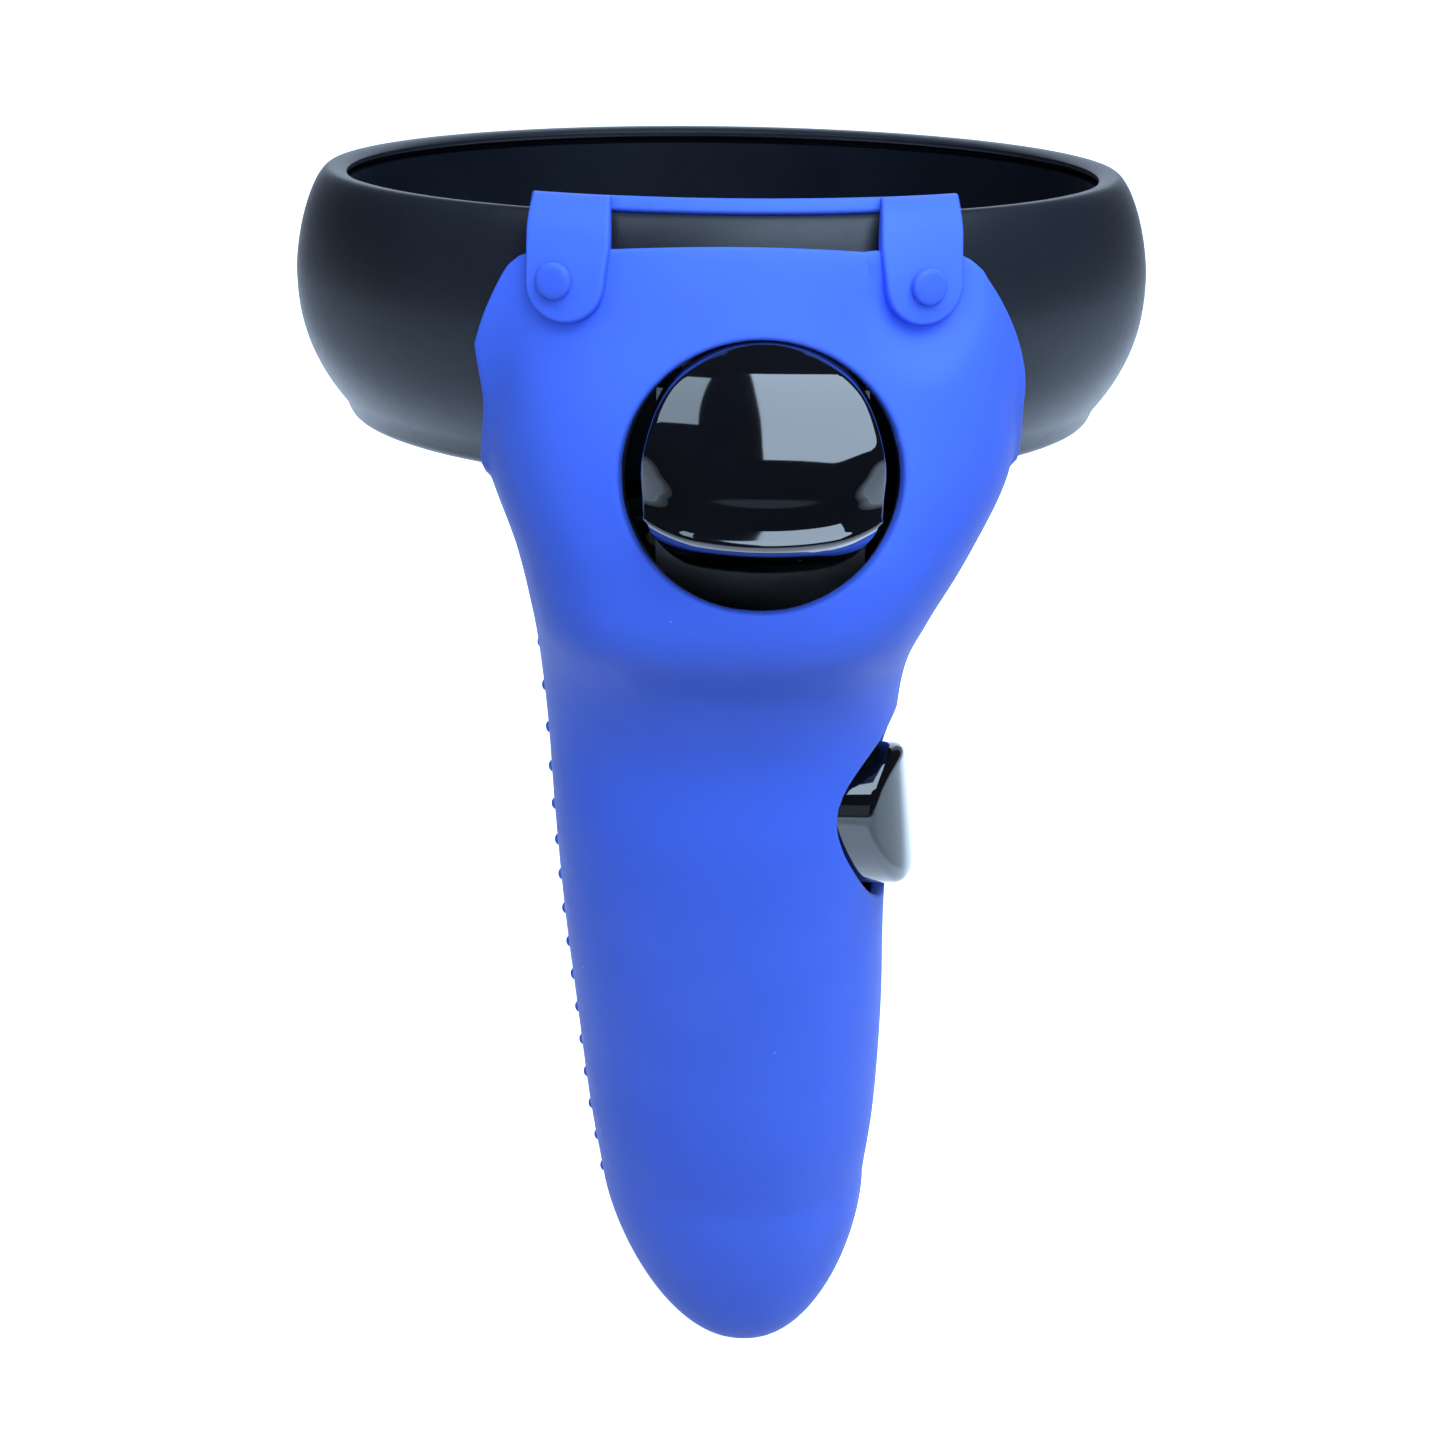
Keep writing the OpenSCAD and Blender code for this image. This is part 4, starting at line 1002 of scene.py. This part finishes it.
def turn_back(a: float, b: float, degrees: float) -> tuple[float, float]:
    """Returns a point turned by an angle about the origin."""
    c, s = math.cos(math.radians(degrees)), math.sin(math.radians(degrees))
    return a * c - b * s, a * s + b * c


@dataclass
class Strap:
    """The strap that folds over the ring's rim: two tabs with stud heads, joined by a strip inside the ring."""

    thick: float = 1.5
    gap: float = 0.1
    sleeve_wall: float = 1.65
    tabs: tuple[float, float] = (-15.1, 19.9)
    tab_w: float = 6.9
    tab_low: float = 1.1
    flare: float = 0.6
    fillet: float = 1.1
    strip_low: float = -12.0
    studs: tuple[tuple[float, float], tuple[float, float]] = ((-15.8, 5.1), (20.6, 4.8))
    stud_r: float = 1.8
    columns: int = 150
    rows: int = 120

    def __post_init__(self) -> None:
        """Works out the strap's path over the rim, by length."""
        path: list[tuple[float, float]] = []
        for i in range(31):
            turn = 90 - 3 * i
            ease = rounded_step(0, 45, turn)
            path.append(RING.crown(turn, self.gap + self.sleeve_wall * ease + self.thick))
        off = self.gap + self.thick
        corner = Vector((RING.top_r, RING.crown_h - RING.lip_h))
        path.append((RING_R - 4.8, RING.crown_h + off - 0.1))
        for i in range(8):
            a = math.radians(90 + 90 * i / 7)
            path.append((corner.x + off * math.cos(a), corner.y + off * math.sin(a)))
        for i in range(1, 11):
            z = corner.y + (self.strip_low - corner.y) * i / 10
            path.append((RING.inside_r(z) - off, z))
        self.path = path
        self.lengths = [0.0]
        for (r0, z0), (r1, z1) in zip(path, path[1:]):
            self.lengths.append(self.lengths[-1] + math.hypot(r1 - r0, z1 - z0))
        self.low_s = next(s for s, (_, z) in zip(self.lengths, path) if z >= self.tab_low)
        self.crest_s = next(s for s, (r, _) in zip(self.lengths, path) if r <= RING_R - 4.3)
        self.rim_s = next(s for s, (_, z) in zip(self.lengths, path) if z >= 9.0)

    def on_path(self, s: float) -> tuple[float, float]:
        """Returns radius and height at a length along the strap."""
        s = max(0.0, min(self.lengths[-1], s))
        for i in range(1, len(self.lengths)):
            if s <= self.lengths[i]:
                t = (s - self.lengths[i - 1]) / max(1e-9, self.lengths[i] - self.lengths[i - 1])
                (r0, z0), (r1, z1) = self.path[i - 1], self.path[i]
                return r0 + (r1 - r0) * t, z0 + (z1 - z0) * t
        return self.path[-1]

    def wrapped(self, x: float, s: float) -> Vector:
        """Returns the strap's outer point at a place across and a length along."""
        r, z = self.on_path(s)
        return Vector((x, RING_R - math.sqrt(r * r - x * x), z))

    def flat_shape(self, point: Vector) -> float:
        """Returns how far a point of the unrolled strap lies inside its outline."""
        x, s = point.x, point.y
        half = self.tab_w / 2
        crest = rounded_step(self.rim_s, self.crest_s, s)
        gaps = []
        for tab, out in zip(self.tabs, (-1, 1)):
            inner = self.flare * rounded_step(self.low_s + 2, self.rim_s, s)
            outer = -self.flare * crest
            centre = tab + out * (outer - inner) / 2
            width = half + (outer + inner) / 2
            dy = max(0.0, self.low_s + half - s)
            dx = max(0.0, abs(x - centre) - (width - half))
            gaps.append(math.hypot(dx, dy) - half if dy > 0 else abs(x - centre) - width)
        left, right = self.tabs[0] - half + self.flare * crest, self.tabs[1] + half - self.flare * crest
        strip = max(self.crest_s - s, left - x, x - right)
        shape = strip
        for gap in gaps:
            blend = max(0.0, self.fillet - abs(shape - gap)) / self.fillet
            shape = min(shape, gap) - blend * blend * self.fillet * 0.25
        return -shape

    def sheet(self) -> bmesh.types.BMesh:
        """Makes the strap with rounded edges.

        Returns:
            The strap as a closed shell.
        """
        x0, x1 = self.tabs[0] - self.tab_w, self.tabs[1] + self.tab_w
        length = self.lengths[-1]
        mesh = grid(self.columns, self.rows, lambda s, t: Vector((x0 + (x1 - x0) * s, length * t, 0.0)))
        trim(mesh, self.flat_shape)
        for vert in mesh.verts:
            vert.co = self.wrapped(vert.co.x, vert.co.y)
        face_out(mesh, FRONT)
        trim(mesh, lambda p: FACE.height(p) - 0.3)
        close_shell(mesh, lambda p, n: p - n * self.thick, soft_rim(even_wall(self.thick), 0.32))
        return mesh

    def stud_heads(self) -> bmesh.types.BMesh:
        """Makes the two low stud heads.

        Returns:
            Both heads in one mesh.
        """
        r = self.stud_r
        both = bmesh.new()
        for x, z in self.studs:
            head = turned([(0, -0.9), (r - 0.6, -0.9), (r - 0.6, -0.2), (r, -0.15), (r + 0.02, 0.22), (r - 0.1, 0.42),
                           (r - 0.32, 0.54), (r - 0.7, 0.58), (r * 0.4, 0.6), (0, 0.6)], 40)
            reach = RING_R + self.sleeve_wall + self.thick - 0.02
            turn = math.atan2(x, RING_R)
            place = (Matrix.Translation(Vector((0.0, RING_R, z))) @ Matrix.Rotation(turn, 4, "Z")
                     @ Matrix.Translation(Vector((0.0, -reach, 0.0))) @ Matrix.Rotation(math.radians(90), 4, "X"))
            absorb(both, head, place)
        return both

    def build(self, bench: Bench) -> None:
        """Makes the strap's pieces."""
        bench.finish("strap", self.sheet(), "controller", "silicone")
        bench.finish("strap_studs", self.stud_heads(), "controller", "silicone")


# ---- Trigger and grip button ----------------------------------------------------------------

@dataclass
class Trigger:
    """The domed trigger with its flicked-out lower lip, on a pin at its top."""

    at: Vector = Vector((4.35, 0.0, -12.6))
    radius: float = 12.1
    edge: float = 0.7
    back_y: float = -1.7
    wall: float = 1.7
    pivot: Vector = Vector((4.35, 2.7, -3.2))
    side: tuple[tuple[float, float], ...] = (
        (0.6, -1.6), (-0.7, -3.6), (-2.5, -6.6), (-5.2, -9.4), (-8.6, -11.5), (-11.8, -12.75), (-14.2, -13.35),
        (-15.7, -13.75), (-16.7, -14.25), (-17.15, -14.6), (-17.55, -14.62), (-18.0, -14.2), (-18.8, -12.9),
        (-20.4, -9.6), (-22.0, -5.6), (-23.3, -1.2))

    def dome(self, s: float, t: float) -> Vector:
        """Returns a point of the trigger's front for two shares, across and down."""
        x = (2 * s - 1) * (self.radius + 0.6)
        z, y = along(self.side, t)
        lip = rounded_step(-8.0, -16.8, z)
        y += x * x / 96 + x ** 4 * 3.2e-5 + 0.10 * lip * max(0.0, abs(x) - 6.0) ** 2
        return Vector((self.at.x + x, y, z + 0.0115 * lip * x * x))

    def reach(self, point: Vector) -> float:
        """Returns the front's radius before its edge rolls over, a little more towards the top."""
        return self.radius - self.edge + 0.9 * rounded_step(3.0, 10.0, point.z - self.at.z)

    def blade(self) -> bmesh.types.BMesh:
        """Makes the trigger's blade with its rounded edge and hollow back.

        Returns:
            The blade as a closed shell.
        """
        mesh = grid(88, 150, self.dome)
        face_out(mesh, FRONT)
        trim(mesh, lambda p: self.reach(p) - math.hypot(p.x - self.at.x, p.z - self.at.z))
        trim(mesh, lambda p: self.back_y - 0.4 - p.y)

        def rim(point: Vector, _normal: Vector, way: Vector) -> list[Vector]:
            """Returns the edge's path: rounded, back along the side, in by the wall."""
            arm = Vector((point.x - self.at.x, 0.0, point.z - self.at.z))
            out = arm.normalized()
            room = max(0.0, self.back_y - point.y)
            r = self.edge * min(1.0, room / 2, max(0.0, 1 - (self.reach(point) - arm.length) / 0.4))
            path = rolled(point, way, Vector((0.0, 1.0, 0.0)), r, 6)
            edge = path[-1]
            stops = [edge.y + (self.back_y - edge.y) * k for k in (0.35, 0.7, 1.0)]
            path += [Vector((edge.x, y, edge.z)) for y in stops]
            return [*path, Vector((edge.x, self.back_y, edge.z)) - out * self.wall * 0.8]

        def inner(point: Vector, _normal: Vector) -> Vector:
            """Returns the hollow's point."""
            arm = Vector((point.x - self.at.x, 0.0, point.z - self.at.z))
            shrink = 1 - (self.wall * 0.8) / self.radius
            back = min(self.back_y, point.y + self.wall)
            return Vector((self.at.x + arm.x * shrink, back, self.at.z + arm.z * shrink))
        close_shell(mesh, inner, rim)
        return mesh

    def arm(self) -> bmesh.types.BMesh:
        """Makes the two ribs and the barrel that hang the blade on its pin.

        Returns:
            The ribs and barrel in one mesh.
        """
        mesh = bmesh.new()
        rib = [(-8.4, -3.4), (-6.7, -6.8), (0.0, -2.0), (-1.5, 1.5), (-4.7, 0.3)]
        for offset in (-2.8, 2.8):
            verts = [mesh.verts.new(self.pivot + Vector((offset - 0.6, y, z))) for y, z in rib]
            face = mesh.faces.new(verts)
            new = bmesh.ops.extrude_face_region(mesh, geom=[face])["geom"]
            bmesh.ops.translate(mesh, verts=verts_of(new), vec=(1.2, 0, 0))
        bmesh.ops.recalc_face_normals(mesh, faces=mesh.faces)
        barrel = turned([(1.06, -3.4), (1.9, -3.4), (2.1, -3.2), (2.1, 3.2), (1.9, 3.4), (1.06, 3.4)], 40)
        absorb(mesh, barrel, Matrix.Translation(self.pivot) @ Matrix.Rotation(math.radians(90), 4, "Y"))
        return mesh

    def build(self, bench: Bench) -> None:
        """Makes the trigger's pieces."""
        bench.finish("trigger_blade", self.blade(), "trigger", "gloss_black", ["trigger"], crease=60)
        bench.finish("trigger_arm", self.arm(), "trigger", "gloss_black")


@dataclass
class GripButton:
    """The grip button under the middle finger: a curved face with a broad rolled edge and a cut-off lower end."""

    at: tuple[float, float] = (23.2, -56.6)
    half: tuple[float, float] = (10.4, 8.0)
    lean: float = 30.0
    face_at: Vector = Vector((6.6, 25.0, -56.0))
    face_r: float = 15.0
    face_lean: float = -6.3
    edge: float = 1.5
    inside_x: float = 11.3
    wall: float = 2.0
    cut_z: float = -62.4

    def face(self, s: float, t: float) -> Vector:
        """Returns a point of the button's face for two shares, front to back and up."""
        a, b = (2 * s - 1) * (self.half[0] + 0.5), (2 * t - 1) * (self.half[1] + 0.5)
        y, z = turn_back(a, b, -self.lean)
        y, z = y + self.at[0], z + self.at[1]
        lean = math.radians(self.face_lean)
        axis_x = self.face_at.x + (z - self.face_at.z) * math.tan(lean)
        x = axis_x + math.sqrt(max(1.0, self.face_r ** 2 - (y - self.face_at.y) ** 2)) / math.cos(lean)
        below = self.cut_z - z
        x -= 0.9 * (below + math.sqrt(below * below + 0.3)) / 2
        return Vector((x, y, z))

    def outside(self, point: Vector) -> float:
        """Returns how far a point lies inside the face's outline, less its rolled edge."""
        a, b = turn_back(point.y - self.at[0], point.z - self.at[1], self.lean)
        return -oval_distance(a, b, self.half[0] - self.edge, self.half[1] - self.edge, 2.1)

    def cap(self) -> bmesh.types.BMesh:
        """Makes the button with its rolled edge and hollow back.

        Returns:
            The button as a closed shell.
        """
        mesh = grid(84, 76, self.face)
        face_out(mesh, RIGHT)
        trim(mesh, self.outside)
        centre = Vector((0.0, self.at[0], self.at[1]))

        def rim(point: Vector, _normal: Vector, out: Vector) -> list[Vector]:
            """Returns the edge's path: rolled, in along the side, then across the wall."""
            way = Vector((0.0, out.y, out.z)).normalized()
            path = rolled(point, out, Vector((-1.0, 0.0, 0.0)), self.edge, 7)
            last = path[-1]
            path += [Vector((last.x + (self.inside_x - last.x) * k, last.y, last.z)) for k in (0.5, 1.0)]
            return [*path, Vector((self.inside_x, last.y, last.z)) - way * self.wall * 0.7]

        def inner(point: Vector, _normal: Vector) -> Vector:
            """Returns the hollow's point."""
            flat = Vector((0.0, point.y, point.z))
            spot = centre + (flat - centre) * 0.94
            return Vector((max(self.inside_x, point.x - self.wall), spot.y, spot.z))
        close_shell(mesh, inner, rim)
        return mesh

    def barrel(self) -> bmesh.types.BMesh:
        """Makes the bored barrel at the button's back, which turns on the pin.

        Returns:
            The barrel.
        """
        mesh = turned([(1.06, -2.8), (1.35, -2.8), (1.5, -2.65), (1.5, 2.65), (1.35, 2.8), (1.06, 2.8)], 40)
        bmesh.ops.translate(mesh, verts=mesh.verts, vec=(10.6, 34.1, -58.0))
        return mesh

    def build(self, bench: Bench) -> None:
        """Makes the grip button's pieces."""
        bench.finish("grip_button_cap", self.cap(), "grip", "gloss_black", ["grip_button"], crease=60)
        bench.finish("grip_button_barrel", self.barrel(), "grip", "gloss_black")


# ---- Face controls --------------------------------------------------------------------------

@dataclass
class FaceControls:
    """The thumb buttons, the system button, the stick's cap and the bezels round them."""

    stick_at: tuple[float, float] = (-9.6, 1.5)
    stick_depth: float = 8.6
    cap_r: float = 7.6
    ball: float = 10.2
    cap_under: float = 13.4
    buttons: tuple[tuple[str, float, float, float, float], ...] = (
        ("button_a", 9.5, 5.2, 4.3, 1.3), ("button_b", 9.5, -6.8, 4.3, 1.3), ("system_button", 2.0, 14.0, 3.0, 0.7))

    def on_face(self, mesh: bmesh.types.BMesh, x: float, y: float, z: float = 0.0) -> bmesh.types.BMesh:
        """Moves a mesh drawn about its own axis to a place on the face.

        Args:
            mesh: The mesh.
            x: Its place across the face.
            y: Its place up the face.
            z: Its height over the face.

        Returns:
            The same mesh.
        """
        bmesh.ops.transform(mesh, matrix=FACE.matrix @ Matrix.Translation(Vector((x, y, z))), verts=mesh.verts)
        return mesh

    def button(self, radius: float, stand: float) -> bmesh.types.BMesh:
        """Makes a button with a soft edge and a slightly dished top.

        Args:
            radius: Its radius above the plate.
            stand: How far it stands over the plate.

        Returns:
            The button.
        """
        flange = radius + 0.9
        profile = eased([(0, -3.6), (flange, -3.6), (flange, -2.3), (radius, -2.3), (radius, stand),
                         (radius * 0.72, stand + 0.1), (0, stand - 0.02)], 0.4, 4)
        return turned(profile, 72)

    def bezel(self, radius: float) -> bmesh.types.BMesh:
        """Returns the low rounded ring round a control of that radius."""
        return turned([(radius, -0.1), (radius, 0.12), (radius + 0.1, 0.2), (radius + 0.32, 0.22), (radius + 0.5, 0.12),
                       (radius + 0.62, 0.0), (radius + 0.62, -0.1)], 88)

    def cap(self) -> bmesh.types.BMesh:
        """Makes the stick's cap: a dished, knurled top on a flared neck over the ball skirt.

        Returns:
            The cap, drawn about the stick's pivot.
        """
        thin, ball, under, r = 0.7, self.ball, self.cap_under, self.cap_r
        lower = [((ball - thin) * math.sin(math.radians(a)), (ball - thin) * math.cos(math.radians(a)))
                 for a in range(10, 51, 4)]
        upper = [(ball * math.sin(math.radians(a)), ball * math.cos(math.radians(a))) for a in range(50, 14, -4)]
        neck = [(2.2, ball + 0.35), (2.05, under - 1.2), (2.5, under - 0.55), (3.4, under - 0.2), (r - 1.0, under)]
        edge = [(r - 0.35, under + 0.25), (r - 0.06, under + 0.8), (r, under + 1.4), (r - 0.1, under + 2.1),
                (r - 0.4, under + 2.65), (r - 0.9, under + 2.95), (r - 1.5, under + 2.98), (r - 2.0, under + 2.8),
                (r - 2.5, under + 2.5), (r * 0.35, under + 2.28), (0, under + 2.25)]
        profile = [(1.32, ball - thin), *lower, *upper, *neck, *edge]
        top = [(0, under - 0.6), (1.32, under - 0.6)]
        mesh = turned([*top, *profile], 96)
        for vert in mesh.verts:                              # shallow knurls round the edge
            reach = vert.co.xy.length
            if reach > r - 0.5 and under + 0.4 < vert.co.z < under + 2.4:
                turn = math.atan2(vert.co.y, vert.co.x)
                if round(turn / math.tau * 96) % 2:
                    vert.co.xy *= 1 - 0.16 / reach
        return mesh

    def build(self, bench: Bench) -> None:
        """Makes the controls' pieces."""
        for name, x, y, radius, stand in self.buttons:
            cap = self.on_face(self.button(radius, stand), x, y)
            bench.finish(f"{name}_cap", cap, name, "control_plastic", [name])
            bezel = self.on_face(self.bezel(radius + 0.42), x, y)
            bench.finish(f"{name}_bezel", bezel, "controller", "face_plastic")
        well = math.sqrt((self.ball + 0.25) ** 2 - self.stick_depth ** 2)
        bezel = self.on_face(self.bezel(well + 0.1), *self.stick_at)
        bench.finish("stick_bezel", bezel, "controller", "face_plastic")
        cap = self.on_face(self.cap(), *self.stick_at, -self.stick_depth)
        bench.finish("stick_cap_top", cap, "stick", "stick_rubber", ["stick_cap"], crease=50)


@dataclass
class LanyardEye:
    """The lanyard's eye at the heel, with eased edges."""

    edge: float = 0.45

    def build(self, bench: Bench) -> None:
        """Makes the eye from the CAD node's own shape, its edges eased by a bevel."""
        node = frame["nodes"]["lanyard_eye"]
        mesh = bmesh.new()
        mesh.from_mesh(node.data)
        bmesh.ops.remove_doubles(mesh, verts=mesh.verts, dist=1e-6)
        bmesh.ops.scale(mesh, verts=mesh.verts, vec=(1 / MM, 1 / MM, 1 / MM))
        bmesh.ops.dissolve_limit(mesh, angle_limit=math.radians(1), verts=mesh.verts, edges=mesh.edges)
        sharp = [e for e in mesh.edges if len(e.link_faces) == 2 and e.calc_face_angle() > math.radians(50)]
        bmesh.ops.bevel(mesh, geom=sharp, offset=self.edge, offset_type="OFFSET", segments=3, profile=0.5,
                        affect="EDGES", clamp_overlap=True, material=-1)
        bench.finish("lanyard_loop", mesh, "controller", "shell_plastic", ["lanyard_eye"], Vector())


# ---- Studio ---------------------------------------------------------------------------------

@dataclass
class Studio:
    """A pale floor, soft lights and the camera."""

    eye: Vector = Vector((0.8, -320.0, 46.5))
    pitch: float = 17.4
    roll: float = 0.8
    lens: float = 71.0
    floor_z: float = -0.1325
    tint: tuple[float, float, float] = (0.62, 0.80, 1.0)
    middle: Vector = Vector((0.0, -0.05, -0.02))
    sky: float = 0.03
    reach: float = 3.0               # metres from the middle to the floor's edges
    sweep_r: float = 1.2             # radius of the turn at the floor's far edge
    sweep_steps: int = 12
    sweep_rise: float = 2.5

    def floor(self) -> None:
        """Lays the pale floor and the sweep behind it."""
        mesh = bmesh.new()
        bmesh.ops.create_grid(mesh, x_segments=1, y_segments=1, size=self.reach)
        bmesh.ops.translate(mesh, verts=mesh.verts, vec=(0, 0, self.floor_z))
        back = [e for e in mesh.edges if min(v.co.y for v in e.verts) > self.reach * 0.9]
        for k in range(1, self.sweep_steps + 1):
            turn = math.radians(90 * k / self.sweep_steps)
            new = bmesh.ops.extrude_edge_only(mesh, edges=back)["geom"]
            back = edges_of(new)
            for vert in verts_of(new):
                vert.co.y = self.reach + self.sweep_r * math.sin(turn)
                vert.co.z = self.floor_z + self.sweep_r * (1 - math.cos(turn))
        new = bmesh.ops.extrude_edge_only(mesh, edges=back)["geom"]
        bmesh.ops.translate(mesh, verts=verts_of(new), vec=(0, 0, self.sweep_rise))
        floor = to_object("floor", mesh)
        floor.data.materials.append(self.floor_finish())
        floor.visible_diffuse = False                       # it only shows, and shows in what is glossy

    @staticmethod
    def floor_finish() -> bpy.types.Material:
        """Makes the floor's finish: pale, and glowing where it lies behind the object.

        Returns:
            The material.
        """
        material = bpy.data.materials.new("pale_floor")
        material.use_nodes = True
        nodes, link = material.node_tree.nodes, material.node_tree.links.new
        split = nodes.new("ShaderNodeSeparateXYZ")
        link(nodes.new("ShaderNodeTexCoord").outputs["Object"], split.inputs[0])
        side = nodes.new("ShaderNodeMath")
        side.operation = "ABSOLUTE"
        link(split.outputs["X"], side.inputs[0])
        run = nodes.new("ShaderNodeMath")
        run.operation = "MULTIPLY_ADD"                      # widens towards the back
        run.inputs[1].default_value = 0.35
        run.inputs[2].default_value = 0.14
        link(split.outputs["Y"], run.inputs[0])
        inside = nodes.new("ShaderNodeMath")
        inside.operation = "SUBTRACT"
        link(run.outputs[0], inside.inputs[0])
        link(side.outputs[0], inside.inputs[1])
        glow = nodes.new("ShaderNodeMapRange")
        glow.interpolation_type = "SMOOTHSTEP"
        glow.inputs["From Min"].default_value = -0.06
        glow.inputs["From Max"].default_value = 0.03
        glow.inputs["To Min"].default_value = 0.22
        glow.inputs["To Max"].default_value = 1.0
        link(inside.outputs[0], glow.inputs["Value"])
        shader = nodes["Principled BSDF"]
        shader.inputs["Base Color"].default_value = (0.80, 0.82, 0.85, 1.0)
        shader.inputs["Roughness"].default_value = 0.9
        shader.inputs["Emission Color"].default_value = (1.0, 1.2, 1.5, 1.0)
        link(glow.outputs["Result"], shader.inputs["Emission Strength"])
        return material

    @staticmethod
    def way(azimuth: float, height: float) -> Vector:
        """Returns the way at so many degrees round from the front and up."""
        a, h = math.radians(azimuth), math.radians(height)
        return Vector((math.sin(a) * math.cos(h), -math.cos(a) * math.cos(h), math.sin(h)))

    def light(self, name: str, azimuth: float, height: float, reach: float, size: tuple[float, float],
              glare: float, facing: Optional[float] = None) -> bpy.types.Object:
        """Hangs one soft light that faces the object.

        Args:
            name: The light's name.
            azimuth: Degrees round from the front, to the right.
            height: Degrees up.
            reach: Metres from the object's middle.
            size: Width and height in metres.
            glare: Its brightness, where 1 is paper white.
            facing: Degrees round from the front that it is turned to, where that isn't its azimuth.

        Returns:
            The light.
        """
        data = bpy.data.lights.new(name, "AREA")
        data.shape = "RECTANGLE"
        data.size, data.size_y = size
        data.energy = glare * math.pi * size[0] * size[1]
        data.color = self.tint
        lamp = bpy.data.objects.new(name, data)
        lamp.location = self.middle + self.way(azimuth, height) * reach
        turned_to = azimuth if facing is None else facing
        lamp.rotation_euler = self.way(turned_to, height).to_track_quat("Z", "Y").to_euler()
        bpy.context.scene.collection.objects.link(lamp)
        return lamp

    def camera(self) -> None:
        """Sets up the camera."""
        data = bpy.data.cameras.new("camera")
        data.lens = self.lens
        data.sensor_width = 36.0
        camera = bpy.data.objects.new("camera", data)
        tip = Matrix.Rotation(math.radians(90 - self.pitch), 4, "X")
        turn = tip @ Matrix.Rotation(math.radians(self.roll), 4, "Z")
        camera.matrix_world = Matrix.Translation(self.eye * MM) @ turn
        bpy.context.scene.collection.objects.link(camera)
        bpy.context.scene.camera = camera

    def build(self) -> None:
        """Makes the floor, the lights and the camera."""
        self.camera()
        self.floor()
        self.light("softbox_right", 48, 58, 0.95, (0.75, 1.05), 6.4, 2)
        self.light("softbox_left", -56, 64, 0.85, (0.30, 0.56), 4.0, -12)
        self.light("side_right", 92, 0, 0.7, (0.4, 0.5), 2.2).visible_glossy = False
        self.light("side_left", -92, 0, 0.7, (0.4, 0.5), 1.8).visible_glossy = False
        self.light("low_front", 2, 5, 0.6, (0.44, 0.17), 0.35)
        self.light("fill_front", 4, 4, 0.95, (0.9, 0.8), 4.2).visible_glossy = False
        world = bpy.data.worlds.new("studio")
        world.use_nodes = True
        back = world.node_tree.nodes["Background"]
        back.inputs["Color"].default_value = (0.95, 0.97, 1.0, 1.0)
        back.inputs["Strength"].default_value = self.sky
        bpy.context.scene.world = world
        bpy.context.scene.view_settings.view_transform = "Standard"


# ---- Everything -----------------------------------------------------------------------------

def dress_cad(finishes: Finishes) -> None:
    """Gives every CAD node the finish of its own slot.

    Args:
        finishes: The materials by slot.
    """
    slots = {part["node"]: part["material_slot"] for part in frame["record"]["subparts"]}
    for name, node in frame["nodes"].items():
        material = finishes[slots[name]]
        if not node.material_slots:
            node.data.materials.append(material)
        for slot in node.material_slots:
            slot.material = material


def main() -> None:
    """Builds the studio and every piece."""
    logging.basicConfig(level=logging.INFO, format="%(name)s: %(message)s")
    Studio().build()
    finishes = Finishes()
    dress_cad(finishes)
    bench = Bench(finishes)
    for part in (HaloRing(), Sleeve(), Strap(), Trigger(), GripButton(), FaceControls(), LanyardEye()):
        part.build(bench)
    LOG.info("%d pieces made", bench.pieces)


if __name__ == "__main__":
    main()
